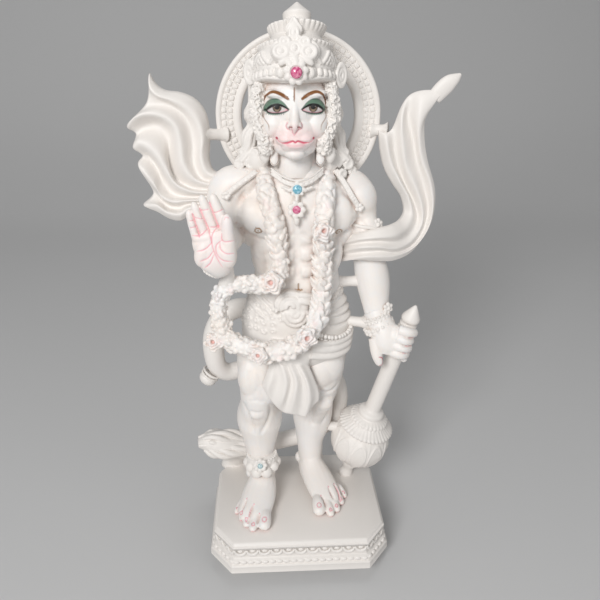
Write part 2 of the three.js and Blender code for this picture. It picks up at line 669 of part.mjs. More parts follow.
const stoneProfile = (radius) => [
  [0, -STONE_SETTING_DEPTH], [radius, -STONE_SETTING_DEPTH], [radius, 0.3],
  [radius * 0.66, radius * 0.42], [0, radius * 0.58],
];
function pocketProfile(stoneRadius) {
  const [radius, depth] = [stoneRadius + STONE_PLAY, STONE_SETTING_DEPTH + STONE_PLAY];
  return [[0, -depth], [radius, -depth], [radius, stoneRadius], [0, stoneRadius]];
}
const STONES = [
  ["forehead_stone", FOREHEAD_SEAT, FOREHEAD_STONE_RADIUS, PINK_GLASS],
  ["collar_stone", COLLAR_SEAT, COLLAR_STONE_RADIUS, BLUE_GLASS],
  ["pendant_stone", PENDANT_SEAT, PENDANT_STONE_RADIUS, PINK_GLASS],
  ["anklet_stone", ANKLET_SEAT, ANKLET_STONE_RADIUS, PALE_GLASS],
];

// A shape drawn in the figure's own frame, at its true size on the plinth.
function onPlinth(shape) {
  return shape.scale(FIGURE_SCALE, FIGURE_SCALE, FIGURE_SCALE).translate(0, 0, PLINTH_HEIGHT);
}

// A profile turned about a stone's seat. The stones keep their own size when the figure is scaled.
function atSeat([base, axis], profile) {
  const seat = base.map((c) => c * FIGURE_SCALE);
  return turned(profile, { base: seat, axis, segments: 10 }).translate(0, 0, PLINTH_HEIGHT);
}

function figure() {
  const groups = [
    legs(), trunk(), arms(), head(), crown(), halo(), scarves(), waistCloth(), garland(), tail(),
    mace(), ornaments(), struts(),
  ];
  return groups.flat().map(onPlinth);
}

function named(name, geometry, material) {
  const mesh = new THREE.Mesh(geometry, material);
  mesh.name = name;
  return mesh;
}

const pockets = STONES.map(([, seat, radius]) => atSeat(seat, pocketProfile(radius)));
const marble = solid(tidied(join([...plinth(), ...figure()]), SEAM_TOLERANCE)).subtract(join(pockets));

const statue = new THREE.Group();
statue.add(named("marble_figure", geometryOf(marble), MARBLE));
for (const [name, seat, radius, material] of STONES)
  statue.add(named(name, atSeat(seat, stoneProfile(radius)), material));

export default statue;
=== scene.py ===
from math import cos, hypot, pi, radians, sin, tau

import bmesh
import bpy
import numpy as np
from bpy.props import FloatProperty, FloatVectorProperty, IntProperty, PointerProperty
from mathutils import Matrix, Vector


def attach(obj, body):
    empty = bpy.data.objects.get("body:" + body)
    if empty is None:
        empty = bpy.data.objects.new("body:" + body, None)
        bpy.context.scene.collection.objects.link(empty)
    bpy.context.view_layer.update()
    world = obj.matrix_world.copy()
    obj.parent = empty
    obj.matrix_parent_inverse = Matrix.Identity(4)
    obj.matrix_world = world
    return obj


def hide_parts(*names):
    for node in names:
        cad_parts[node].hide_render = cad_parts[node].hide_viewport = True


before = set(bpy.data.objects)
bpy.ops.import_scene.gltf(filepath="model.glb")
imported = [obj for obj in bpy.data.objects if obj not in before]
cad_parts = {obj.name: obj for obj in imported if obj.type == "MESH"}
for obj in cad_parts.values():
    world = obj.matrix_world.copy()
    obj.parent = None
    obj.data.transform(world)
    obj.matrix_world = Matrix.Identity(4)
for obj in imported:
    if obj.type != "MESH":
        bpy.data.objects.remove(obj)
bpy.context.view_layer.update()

bl_info = {
    "name": "Marble temple guardian",
    "version": (1, 0, 0),
    "blender": (4, 5, 0),
    "location": "View3D > Sidebar > Guardian",
    "description": "Models a carved marble figure on its plinth, piece by piece",
    "category": "Add Mesh",
}

MM = 0.001
MARBLE_NODE = "marble_figure"
UP = (0, 0, 1)
FRONT = (0, -1, 0)
SIDES = (-1, 1)

# The head's middle lies a little to the figure's right of the trunk's.
HEAD_X = -2.5


# Sizes and colours that a user would change

class GuardianSizes(bpy.types.PropertyGroup):
    """Sizes of the plinth and of the carving's finest marks."""

    plinth_width: FloatProperty(
        name="Plinth width", description="Left to right across the slab", default=214 * MM,
        unit="LENGTH", subtype="DISTANCE",
    )
    plinth_depth: FloatProperty(
        name="Plinth depth", description="Front to back across the slab", default=182 * MM,
        unit="LENGTH", subtype="DISTANCE",
    )
    plinth_height: FloatProperty(
        name="Plinth height", description="Underside to the soles of the feet", default=38 * MM,
        unit="LENGTH", subtype="DISTANCE",
    )
    scallop_pitch: FloatProperty(
        name="Scallop pitch", description="Width of one scallop on the plinth", default=14.5 * MM,
        unit="LENGTH", subtype="DISTANCE",
    )
    halo_radius: FloatProperty(
        name="Halo radius", description="Centre to outer rim", default=88.5 * MM,
        unit="LENGTH", subtype="DISTANCE",
    )
    halo_inner: FloatProperty(
        name="Halo opening", description="Centre to inner rim", default=61 * MM,
        unit="LENGTH", subtype="DISTANCE",
    )
    mace_length: FloatProperty(
        name="Mace length", description="Foot peg to the tip of the knob", default=276 * MM,
        unit="LENGTH", subtype="DISTANCE",
    )
    mace_radius: FloatProperty(
        name="Mace ball radius", description="Widest radius of the mace's head", default=36 * MM,
        unit="LENGTH", subtype="DISTANCE",
    )
    skin_grain: FloatProperty(
        name="Skin mesh", description="Spacing of the points on bare skin", default=1.25 * MM,
        unit="LENGTH", subtype="DISTANCE",
    )
    blossoms: IntProperty(
        name="Blossom petals", description="Petals round each small blossom", default=5, min=4, max=9,
    )


class GuardianColours(bpy.types.PropertyGroup):
    """Colours of the stone, the paint on it and the inlays."""

    marble: FloatVectorProperty(
        name="Marble", description="Polished stone", subtype="COLOR", default=(0.88, 0.855, 0.835),
    )
    # Tint laid into the hollows and creases: warm dirt together with painted shade
    dirt_and_shade: FloatVectorProperty(
        name="Stain", description="Warm dirt in the hollows", subtype="COLOR",
        default=(0.58, 0.4, 0.32),
    )
    pink_stone: FloatVectorProperty(
        name="Pink stone", description="Forehead and pendant inlays", subtype="COLOR",
        default=(0.78, 0.06, 0.25),
    )
    blue_stone: FloatVectorProperty(
        name="Blue stone", description="Collar inlay", subtype="COLOR", default=(0.16, 0.55, 0.72),
    )
    pale_stone: FloatVectorProperty(
        name="Pale stone", description="Anklet inlay", subtype="COLOR", default=(0.5, 0.7, 0.74),
    )
    floor: FloatVectorProperty(
        name="Floor", description="Studio floor", subtype="COLOR", default=(0.6, 0.6, 0.6),
    )


def sizes():
    return bpy.context.scene.guardian_sizes


def colours():
    return bpy.context.scene.guardian_colours


def drawn(length):
    """A length in metres as drawn millimetres."""
    return length / MM


# Paints, in linear colour

def srgb(red, green, blue):
    def linear(value):
        share = value / 255
        return share / 12.92 if share <= 0.04045 else ((share + 0.055) / 1.055) ** 2.4

    return (linear(red), linear(green), linear(blue))


LID_GREEN = srgb(104, 132, 114)
LID_EDGE = srgb(44, 74, 66)
LASH_BLACK = srgb(18, 16, 16)
EYE_WHITE = srgb(214, 206, 204)
IRIS_BROWN = srgb(112, 94, 78)
BROW_BROWN = srgb(132, 84, 42)
TAIL_BROWN = srgb(92, 56, 34)
LINE_BROWN = srgb(150, 112, 84)
LIP_PINK = srgb(216, 92, 116)
LIP_PALE = srgb(240, 176, 186)
BLUSH = srgb(246, 206, 206)
DOT_RED = srgb(186, 44, 78)
LINE_PINK = srgb(236, 138, 156)
GOLD_BROWN = srgb(150, 104, 46)
NAIL_PINK = srgb(204, 92, 116)
NOSTRIL_RED = srgb(120, 48, 48)
IRIS_PALE = srgb(168, 150, 128)
ROSE_PINK = srgb(222, 160, 150)


# Curves and solid forms

# Points nearer to each other than this are one point, in drawn millimetres.
TOUCHING = 1e-4


def fair(points, per):
    """Rows of a centripetal curve through `points`, `per` of them to a span."""
    p = np.asarray(points, float)
    p = np.vstack([2 * p[0] - p[1], p, 2 * p[-1] - p[-2]])
    step = np.maximum(np.linalg.norm(np.diff(p[:, :3], axis=0), axis=1) ** 0.5, 1e-4)
    t = np.linspace(0, 1, per, endpoint=False)[:, None]
    rows = []
    for i in range(1, len(p) - 2):
        a, b, c = step[i - 1 : i + 2]
        chord = p[i + 1] - p[i]
        leave = ((p[i] - p[i - 1]) / a - (p[i + 1] - p[i - 1]) / (a + b) + chord / b) * b
        arrive = (chord / b - (p[i + 2] - p[i]) / (b + c) + (p[i + 2] - p[i + 1]) / c) * b
        rows.append(
            (2 * t**3 - 3 * t**2 + 1) * p[i] + (t**3 - 2 * t**2 + t) * leave
            + (3 * t**2 - 2 * t**3) * p[i + 1] + (t**3 - t**2) * arrive
        )
    return np.vstack([*rows, p[-2][None]])


def unit(rows):
    return rows / np.maximum(np.linalg.norm(rows, axis=-1, keepdims=True), 1e-9)


def pour(part, bm):
    """Adds one finished shell to the piece being built."""
    mesh = bpy.data.meshes.new("part")
    part.to_mesh(mesh)
    part.free()
    bm.from_mesh(mesh)
    bpy.data.meshes.remove(mesh)


def skin(bm, around, along, place):
    """A closed form from a grid laid over place(u, v). u runs round it from 0 to 1 and v along it."""
    part = bmesh.new()
    bmesh.ops.create_grid(part, x_segments=around, y_segments=along, size=0.5)
    at = np.array([v.co for v in part.verts]) + 0.5
    for vert, co in zip(part.verts, place(at[:, 0], at[:, 1])):
        vert.co = co
    bmesh.ops.remove_doubles(part, verts=part.verts, dist=TOUCHING)
    bmesh.ops.holes_fill(part, edges=[e for e in part.edges if e.is_boundary], sides=0)
    bmesh.ops.recalc_face_normals(part, faces=part.faces)
    pour(part, bm)


def frames_along(rows, facing):
    """Directions along a line of points, sideways and in depth, at each of them."""
    along = unit(np.gradient(rows, axis=0))
    side = unit(np.cross(np.broadcast_to(np.array(facing, float), along.shape), along))
    return along, side, np.cross(along, side)


def limb(bm, stations, sides=18, per=6, facing=FRONT, swell=None):
    """A tapering form through stations (x, y, z, radius sideways, radius front to back)."""
    rows = fair([(*s[:4], s[4] if len(s) > 4 else s[3]) for s in stations], per)
    along, side, depth = frames_along(rows[:, :3], facing)
    last = len(rows) - 1

    def place(u, v):
        i = np.rint(v * last).astype(int)
        angle = tau * u
        grow = 1 if swell is None else swell(v, angle)
        across = (np.cos(angle) * rows[i, 3] * grow)[:, None] * side[i]
        return rows[i, :3] + across + (np.sin(angle) * rows[i, 4] * grow)[:, None] * depth[i]

    skin(bm, sides, last, place)


def ball(bm, centre, radii, lean=0, turn=None, detail=3):
    """An ellipsoid, leaning about Y, or turned by a matrix."""
    rotation = turn if turn is not None else Matrix.Rotation(lean, 4, "Y")
    place = Matrix.Translation(centre) @ rotation @ Matrix.Diagonal((*radii, 1))
    part = bmesh.new()
    bmesh.ops.create_icosphere(part, subdivisions=detail, radius=1, matrix=place)
    pour(part, bm)


def balls(bm, rows):
    """Ellipsoids, each given as (centre, radii) or (centre, radii, lean)."""
    for row in rows:
        ball(bm, *row)


def paired(bm, rows, detail=3):
    """Ellipsoids given for the figure's left side, made on both sides."""
    for side in SIDES:
        for (x, y, z), radii, *lean in rows:
            ball(bm, (x * side, y, z), radii, *(angle * side for angle in lean), detail=detail)


def pointing(base, axis):
    """A matrix that lays +Z along `axis` from `base`. A finished matrix is kept as it is."""
    if isinstance(base, Matrix):
        return base
    aim = Vector(UP).rotation_difference(Vector(axis).normalized())
    return Matrix.Translation(base) @ aim.to_matrix().to_4x4()


def upright(base, aim):
    """A matrix at `base` with its X level, its Y upwards and its Z along `aim`."""
    out = Vector(aim).normalized()
    across = Vector(UP).cross(out).normalized()
    turn = Matrix((across, out.cross(across), out)).transposed()
    return Matrix.Translation(base) @ turn.to_4x4()


def turned(bm, profile, base, axis, steps=48, oval=1, relief=None):
    """A form spun from (radius, height) points. `relief` adds to the radius by height and angle."""
    part = bmesh.new()
    verts = [part.verts.new((max(r, 0), 0, h)) for r, h in profile]
    edges = [part.edges.new(pair) for pair in zip(verts[:-1], verts[1:])]
    bmesh.ops.spin(
        part, geom=verts + edges, cent=(0, 0, 0), axis=UP, angle=tau, steps=steps, use_merge=True,
        use_duplicate=False,
    )
    bmesh.ops.remove_doubles(part, verts=part.verts, dist=TOUCHING)
    bmesh.ops.recalc_face_normals(part, faces=part.faces)
    if relief is not None:
        at = np.array([v.co for v in part.verts])
        radius = np.hypot(at[:, 0], at[:, 1])
        grow = 1 + relief(at[:, 2], np.arctan2(at[:, 1], at[:, 0])) / np.maximum(radius, 1)
        for vert, share in zip(part.verts, grow):
            vert.co.x *= share
            vert.co.y *= share
    place = pointing(base, axis) @ Matrix.Diagonal((1, oval, 1, 1))
    bmesh.ops.transform(part, matrix=place, verts=part.verts)
    pour(part, bm)


def ring(bm, base, axis, radius, thick, steps=40, sides=10, oval=1):
    """A closed ring of round section."""
    angles = [tau * i / sides for i in range(sides + 1)]
    turned(bm, [(radius + thick * cos(a), thick * sin(a)) for a in angles], base, axis, steps, oval)


# Share of a cloth's width over which its rim is rounded
CLOTH_RIM = 0.05


def sheet(bm, lines, across, along, thickness):
    """A thick cloth laid through flow lines, with rounded rims."""
    curves = [fair(line, 24) for line in lines]

    def eased(share):
        return share - 0.7 * np.sin(tau * share) / tau

    def face(u, v, offset):
        u, v = eased(u), eased(v)
        knots = np.stack([curve_at(curve, v) for curve in curves], axis=1)
        out = across_at(knots, u)
        edge = np.minimum(np.minimum(u, 1 - u) * 2, 1 - v) / CLOTH_RIM
        full = np.sqrt(np.clip(1 - (1 - np.clip(edge, 0, 1)) ** 2, 0.02, 1))
        out[:, 1] += offset * thickness * full
        return out

    part = bmesh.new()
    loops = []
    for offset in (-0.5, 0.5):
        before = set(part.verts)
        bmesh.ops.create_grid(part, x_segments=across, y_segments=along, size=0.5)
        fresh = [v for v in part.verts if v not in before]
        at = np.array([v.co for v in fresh]) + 0.5
        for vert, co in zip(fresh, face(at[:, 0], at[:, 1], offset)):
            vert.co = co
        loops += [e for v in fresh for e in v.link_edges if e.is_boundary]
    bmesh.ops.bridge_loops(part, edges=list(set(loops)))
    bmesh.ops.recalc_face_normals(part, faces=part.faces)
    pour(part, bm)


def curve_at(rows, share):
    """Places on a line of points, by their share of the way along it."""
    place = share * (len(rows) - 1)
    low = np.minimum(place.astype(int), len(rows) - 2)
    rest = (place - low)[:, None]
    return rows[low] * (1 - rest) + rows[low + 1] * rest


def across_at(knots, u):
    """Catmull-Rom across the flow lines, evenly spaced."""
    count = knots.shape[1]
    padded = np.concatenate(
        [2 * knots[:, :1] - knots[:, 1:2], knots, 2 * knots[:, -1:] - knots[:, -2:-1]], axis=1
    )
    place = np.clip(u, 0, 1) * (count - 1)
    low = np.minimum(place.astype(int), count - 2)
    t = (place - low)[:, None]
    pick = np.arange(len(u))
    a, b, c, d = (padded[pick, low + k] for k in range(4))
    square, cube = 2 * a - 5 * b + 4 * c - d, 3 * b - a - 3 * c + d
    return 0.5 * (2 * b + (c - a) * t + square * t**2 + cube * t**3)


def mirrored(points, middle):
    return [(2 * middle - p[0], *p[1:]) for p in points]


def bloom(bm, place, profile, lobes, around, start, dip, twist=0):
    """A turned form with wavy rims that dip. Each row of the profile is (radius, height, ripple)."""
    rows = np.array(profile, float)
    last = len(rows) - 1
    matrix = np.array(place)

    def put(u, v):
        i = np.rint(v * last).astype(int)
        angle = tau * u
        wave = np.cos(lobes * angle + start + twist * v)
        wave = wave + 0.35 * np.cos((2 * lobes + 1) * angle + 2 * start)
        radius = rows[i, 0] + rows[i, 2] * wave
        height = rows[i, 1] + dip * rows[i, 2] * (np.cos(lobes * angle + start + 0.8) + 0.3 * wave)
        local = np.column_stack([radius * np.cos(angle), radius * np.sin(angle), height, np.ones(len(u))])
        return (local @ matrix.T)[:, :3]

    skin(bm, around, last, put)


# Carving and painting the points of a finished mesh

def run_along(rows):
    """Distance from the start at each of a line's points."""
    return np.concatenate([[0], np.cumsum(np.linalg.norm(np.diff(rows, axis=0), axis=1))])


def line_distance(points, line):
    """Distance of each point to a line of points, and how far along it that place is, from 0 to 1."""
    best = np.full(len(points), 1e9)
    share = np.zeros(len(points))
    lengths = np.linalg.norm(np.diff(line, axis=0), axis=1)
    total = max(lengths.sum(), 1e-9)
    run = 0
    for start, end, length in zip(line[:-1], line[1:], lengths):
        chord = end - start
        t = np.clip((points - start) @ chord / max(chord @ chord, 1e-9), 0, 1)
        gap = np.linalg.norm(points - start - t[:, None] * chord, axis=1)
        nearer = gap < best
        best = np.where(nearer, gap, best)
        share = np.where(nearer, (run + t * length) / total, share)
        run += length
    return best, share


def inside(points, outline):
    """Which points lie in a closed outline."""
    x, z = points[:, 0], points[:, 1]
    found = np.zeros(len(points), bool)
    for (ax, az), (bx, bz) in zip(outline, np.roll(outline, -1, axis=0)):
        crossing = (az > z) != (bz > z)
        where = ax + (z - az) * (bx - ax) / (bz - az if bz != az else 1e-9)
        found ^= crossing & (x < where)
    return found


class Carving:
    """A piece's points while it is carved and painted. Strokes given as (x, z) fall on the front."""

    def __init__(self, obj):
        self.obj = obj
        count = len(obj.data.vertices)
        self.co = np.zeros((count, 3), np.float32)
        obj.data.vertices.foreach_get("co", self.co.reshape(-1))
        self.co = self.co.astype(float)
        self.paint = np.zeros((count, 4))
        self.refresh()

    def refresh(self):
        """Moves the mesh's points to where the strokes put them, and reads its normals again."""
        self.obj.data.vertices.foreach_set("co", self.co.astype(np.float32).reshape(-1))
        self.obj.data.update()
        normal = np.zeros(len(self.co) * 3, np.float32)
        self.obj.data.vertices.foreach_get("normal", normal)
        self.normal = normal.reshape(-1, 3).astype(float)

    def reach(self, line, width, per):
        """The points near a line, with their distance to it and their share of the way along it."""
        line = np.asarray(line, float)
        flat = line.shape[1] == 2
        if per > 1 and len(line) > 2:
            line = fair(np.column_stack([line, np.zeros(len(line))]) if flat else line, per)
        line = line[:, :2] if flat else line[:, :3]
        points = self.co[:, [0, 2]] if flat else self.co
        near = np.all((points > line.min(0) - width) & (points < line.max(0) + width), axis=1)
        if flat:
            near &= self.normal[:, 1] < 0.1
        picked = np.nonzero(near)[0]
        gap, share = line_distance(points[picked], line)
        return picked, gap, share

    def stroke(self, line, width, height, per=4, taper=0.25):
        """Raises a ridge along a line, or cuts a groove where the height is negative."""
        picked, gap, share = self.reach(line, width * 2.6, per)
        fade = np.clip(np.minimum(share, 1 - share) / max(taper, 1e-6), 0, 1) if taper else 1
        fade = np.sqrt(fade) if taper else 1
        amount = height * np.exp(-((gap / width) ** 2)) * fade
        self.co[picked] += self.normal[picked] * amount[:, None]

    def strokes(self, rows, **how):
        """Strokes given as (line, width, height)."""
        for row in rows:
            self.stroke(*row, **how)

    def onto(self, line):
        """Each point of a line moved to the nearest point of the mesh."""
        return [tuple(self.co[np.argmin(((self.co - np.array(p)) ** 2).sum(axis=1))]) for p in line]

    def mound(self, centre, radii, height):
        """A soft swelling forwards round a point."""
        away = (self.co - np.array(centre)) / np.array(radii)
        weight = np.exp(-(away**2).sum(axis=1))
        self.co += np.array(FRONT, float) * (height * weight)[:, None]

    def colour(self, picked, weight, tint):
        """Lays a tint over the paint that the picked points have."""
        weight = np.clip(weight, 0, 1)
        old = self.paint[picked]
        alpha = weight + old[:, 3] * (1 - weight)
        mix = weight / np.maximum(alpha, 1e-6)
        old[:, :3] += (np.array(tint) - old[:, :3]) * mix[:, None]
        old[:, 3] = alpha
        self.paint[picked] = old

    def line(self, line, width, tint, strength=1, soft=0.45, per=6, taper=0, limit=None):
        """Paints a line of a given full width."""
        picked, gap, share = self.reach(line, width + soft, per)
        half = width / 2
        if taper:
            half = half * (0.35 + 0.65 * np.clip(np.minimum(share, 1 - share) / taper, 0, 1))
        weight = np.clip((half - gap) / soft + 0.5, 0, 1) * strength
        if limit is not None:
            weight = weight * limit(self.co[picked])
        self.colour(picked, weight, tint)

    def patch(self, outline, tint, strength=1, soft=0.45, per=6):
        """Paints the inside of an outline on the front."""
        loop = np.asarray([*outline, outline[0]], float)
        line = fair(np.column_stack([loop, np.zeros(len(loop))]), per)[:, :2]
        points = self.co[:, [0, 2]]
        near = np.all((points > line.min(0) - soft) & (points < line.max(0) + soft), axis=1)
        picked = np.nonzero(near & (self.normal[:, 1] < 0.1))[0]
        gap, _ = line_distance(points[picked], line)
        signed = np.where(inside(points[picked], line[:-1]), gap, -gap)
        self.colour(picked, np.clip(signed / soft + 0.5, 0, 1) * strength, tint)

    def disc(self, centre, radius, tint, strength=1, soft=0.45):
        """Paints a round spot on the front."""
        gap = np.hypot(self.co[:, 0] - centre[0], self.co[:, 2] - centre[1])
        picked = np.nonzero((gap < radius + soft) & (self.normal[:, 1] < 0.1))[0]
        self.colour(picked, np.clip((radius - gap[picked]) / soft + 0.5, 0, 1) * strength, tint)

    def done(self, share=1, extra=None):
        """Stores the paint, thins out the mesh where it has none, and finishes the piece in its stone."""
        self.refresh()
        layer = self.obj.data.color_attributes.new("paint", "FLOAT_COLOR", "POINT")
        layer.data.foreach_set("color", self.paint.astype(np.float32).reshape(-1))
        painted = np.nonzero(self.paint[:, 3] > 0.05)[0]
        if share < 1:
            group = self.obj.vertex_groups.new(name="painted")
            group.add([int(i) for i in painted], 1, "REPLACE")
            thin = self.obj.modifiers.new("Thin out", "DECIMATE")
            thin.ratio = share
            thin.vertex_group = group.name
            thin.invert_vertex_group = True
            thin.vertex_group_factor = 0.05
            applied(self.obj)
            self.obj.vertex_groups.clear()
        if extra is not None:
            joined(self.obj, extra)
        marble_piece(self.obj, painted=len(painted) > 0)


# Objects

def new_object(name, bm):
    mesh = bpy.data.meshes.new(name)
    bm.to_mesh(mesh)
    bm.free()
    obj = bpy.data.objects.new(name, mesh)
    bpy.context.scene.collection.objects.link(obj)
    return obj


def joined(obj, bm):
    """Adds finished shells to a piece."""
    whole = bmesh.new()
    whole.from_mesh(obj.data)
    pour(bm, whole)
    whole.to_mesh(obj.data)
    whole.free()


def applied(obj):
    """Leaves the piece with the mesh that its modifiers make."""
    depsgraph = bpy.context.evaluated_depsgraph_get()
    mesh = bpy.data.meshes.new_from_object(obj.evaluated_get(depsgraph))
    old = obj.data
    obj.modifiers.clear()
    obj.data = mesh
    bpy.data.meshes.remove(old)
    return obj


def fused(name, bm, grain, soften):
    """Everything in the piece made one skin, with its creases softened."""
    obj = new_object(name, bm)
    remesh = obj.modifiers.new("One skin", "REMESH")
    remesh.mode = "VOXEL"
    remesh.voxel_size = grain
    remesh.use_smooth_shade = True
    smooth = obj.modifiers.new("Soften", "SMOOTH")
    smooth.factor = 0.5
    smooth.iterations = soften
    return applied(obj)


def settled(obj, material, nodes=(MARBLE_NODE,)):
    """Sets a finished piece down on the plinth in metres, gives it its material, and hides the model's parts
    that it stands for.
    """
    lift = Matrix.Translation((0, 0, sizes().plinth_height))
    obj.data.transform(lift @ Matrix.Scale(MM, 4))
    obj.data.polygons.foreach_set("use_smooth", [True] * len(obj.data.polygons))
    obj.data.materials.clear()
    obj.data.materials.append(material)
    obj.data.update()
    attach(obj, "root")
    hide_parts(*nodes)


def marble_piece(obj, painted=False):
    """Finishes a piece of the carving in its stone."""
    settled(obj, marble("painted_marble" if painted else "marble", painted))


def on_head(bm):
    """Moves what was drawn round the head's middle to its place."""
    bmesh.ops.translate(bm, verts=bm.verts, vec=(HEAD_X, 0, 0))


def spin(angle):
    return Matrix.Rotation(angle, 4, "Z")


# Materials

# How fine each pattern in the stone is, as the scale of its noise
CLOUDS, VEINS, SHADE_AND_DIRT, POLISH, GRAIN = 14, 30, 55, 90, 420


def started(name):
    """A new material with its nodes, its links, its shader and the place on the piece."""
    material = bpy.data.materials.new(name)
    material.use_nodes = True
    nodes, links = material.node_tree.nodes, material.node_tree.links
    place = nodes.new("ShaderNodeTexCoord").outputs["Object"]
    return material, nodes, links, nodes["Principled BSDF"], place


def speckled(name, scale, dark, light, ends=(0, 1)):
    """A material that wanders between two tints."""
    material, nodes, links, shader, place = started(name)
    noise = nodes.new("ShaderNodeTexNoise")
    noise.inputs["Scale"].default_value = scale
    ramp = nodes.new("ShaderNodeValToRGB")
    for element, position, tint in zip(ramp.color_ramp.elements, ends, (dark, light)):
        element.position = position
        element.color = (*tint, 1)
    links.new(place, noise.inputs["Vector"])
    links.new(noise.outputs["Fac"], ramp.inputs["Fac"])
    links.new(ramp.outputs["Color"], shader.inputs["Base Color"])
    return material, shader


def marble(name, painted):
    """Polished white stone: faint clouding, warm dirt and painted shade in the hollows and creases, and
    paint where a piece has it.
    """
    if name in bpy.data.materials:
        return bpy.data.materials[name]
    material, nodes, links, shader, place = started(name)

    def added(kind, settings, **numbers):
        node = nodes.new("ShaderNode" + kind)
        for key, setting in settings.items():
            setattr(node, key, setting)
        for key, number in numbers.items():
            node.inputs[key.replace("_", " ")].default_value = number
        return node

    def noise(scale, detail, roughness=0.55):
        node = added("TexNoise", {}, Scale=scale, Detail=detail, Roughness=roughness)
        links.new(place, node.inputs["Vector"])
        return node.outputs["Fac"]

    def spread(value, low, high, to_low, to_high):
        node = added("MapRange", {}, From_Min=low, From_Max=high, To_Min=to_low, To_Max=to_high)
        links.new(value, node.inputs["Value"])
        return node.outputs["Result"]

    def mixed(factor, first, second):
        node = added("Mix", {"data_type": "RGBA"})
        links.new(factor, node.inputs["Factor"])
        tints = [socket for socket in node.inputs if socket.type == "RGBA"]
        for socket, value in zip(tints, (first, second)):
            if isinstance(value, bpy.types.NodeSocket):
                links.new(value, socket)
            else:
                socket.default_value = (*value, 1)
        return next(socket for socket in node.outputs if socket.type == "RGBA")

    base = tuple(colours().marble)
    warm = (base[0], base[1] * 0.95, base[2] * 0.9)
    grey = (base[0] * 0.95, base[1] * 0.97, base[2] * 0.99)
    clouds = mixed(spread(noise(CLOUDS, 3), 0.35, 0.7, 0, 1), base, warm)
    veins = mixed(spread(noise(VEINS, 6, 0.7), 0.5, 0.66, 0, 0.6), clouds, grey)

    # Painted shade with dirt: the stain tint darkens occluded hollows, found by ambient occlusion, in noisy
    # patches
    hollow = added("AmbientOcclusion", {"samples": 6, "only_local": False}, Distance=9 * MM)
    depth = spread(hollow.outputs["AO"], 0.15, 0.75, 0.75, 0)
    patches = spread(noise(SHADE_AND_DIRT, 4), 0.35, 0.65, 0.2, 1)
    product = added("Math", {"operation": "MULTIPLY", "use_clamp": True})
    links.new(depth, product.inputs[0])
    links.new(patches, product.inputs[1])
    dirty_and_shaded = mixed(product.outputs[0], veins, tuple(colours().dirt_and_shade))
    # Painted shade in creases: concave places, by their pointiness, take the same tint
    edge = nodes.new("ShaderNodeNewGeometry").outputs["Pointiness"]
    finished = mixed(spread(edge, 0.42, 0.48, 0.4, 0), dirty_and_shaded, tuple(colours().dirt_and_shade))

    if painted:
        brush = added("Attribute", {"attribute_name": "paint"})
        finished = mixed(brush.outputs["Alpha"], finished, brush.outputs["Color"])
    links.new(finished, shader.inputs["Base Color"])
    links.new(spread(noise(POLISH, 3), 0.3, 0.7, 0.44, 0.56), shader.inputs["Roughness"])
    bump = added("Bump", {}, Strength=0.06, Distance=0.4 * MM)
    links.new(noise(GRAIN, 3), bump.inputs["Height"])
    links.new(bump.outputs["Normal"], shader.inputs["Normal"])
    shader.inputs["Subsurface Weight"].default_value = 0.18
    shader.inputs["Subsurface Radius"].default_value = (1, 0.85, 0.75)
    shader.inputs["Subsurface Scale"].default_value = 2 * MM
    shader.inputs["IOR"].default_value = 1.5
    return material


def cut_stone(name, tint):
    """A glossy coloured inlay, speckled between a darker and a lighter tone of its colour."""
    dark, light = [c * 0.7 for c in tint], [c * 0.7 + 0.3 for c in tint]
    material, shader = speckled(name, 500, dark, light, ends=(0.35, 0.7))
    shader.inputs["Roughness"].default_value = 0.08
    shader.inputs["IOR"].default_value = 1.55
    shader.inputs["Coat Weight"].default_value = 0.6
    shader.inputs["Coat Roughness"].default_value = 0.04
    return material


# Plinth

# How far each cut corner reaches along the front and along the side
CORNER_CUT = (26, 34)


def plinth_outline(inset):
    """The slab's eight corners, drawn in by an inset all round."""
    width, depth = (drawn(v) / 2 - inset for v in (sizes().plinth_width, sizes().plinth_depth))
    slope = hypot(*CORNER_CUT)
    height = CORNER_CUT[0] * CORNER_CUT[1] / slope
    keep = 1 - inset * ((CORNER_CUT[0] + CORNER_CUT[1]) / slope - 1) / height
    cx, cy = CORNER_CUT[0] * keep, CORNER_CUT[1] * keep
    return [
        (width, -depth + cy), (width, depth - cy), (width - cx, depth), (-width + cx, depth),
        (-width, depth - cy), (-width, -depth + cy), (-width + cx, -depth), (width - cx, -depth),
    ]


BEAD_PITCH = 8.3

# Each course of the moulding is (inset, height above the underside).
COURSES = [
    (0.3, 0), (0, 0.4), (0, 8.4), (0.4, 8.9), (3.2, 9.6), (3.6, 10.2), (3.8, 15.2), (4.2, 16), (6.8, 16.6),
    (7.4, 17.4), (7.6, 28.2), (7.2, 28.9), (5.2, 29.4), (4.6, 30), (4.6, 32.2), (5, 32.9), (6.6, 33.3),
    (6.9, 33.8), (6.9, 35.6), (7.6, 37.3), (8.6, 38),
]


def plinth_course(inset, count_of, build):
    """Calls build(place, turn, outward, width) for each of the even places round an outline."""
    outline = plinth_outline(inset)
    for (ax, ay), (bx, by) in zip(outline, [*outline[1:], outline[0]]):
        length = hypot(bx - ax, by - ay)
        count = count_of(length)
        outward = Vector((by - ay, ax - bx, 0)).normalized()
        turn = spin(np.arctan2(outward.y, outward.x) + pi / 2)
        for i in range(count):
            share = (i + 0.5) / count
            place = Vector((ax + (bx - ax) * share, ay + (by - ay) * share, 0))
            build(place, turn, outward, length / count)


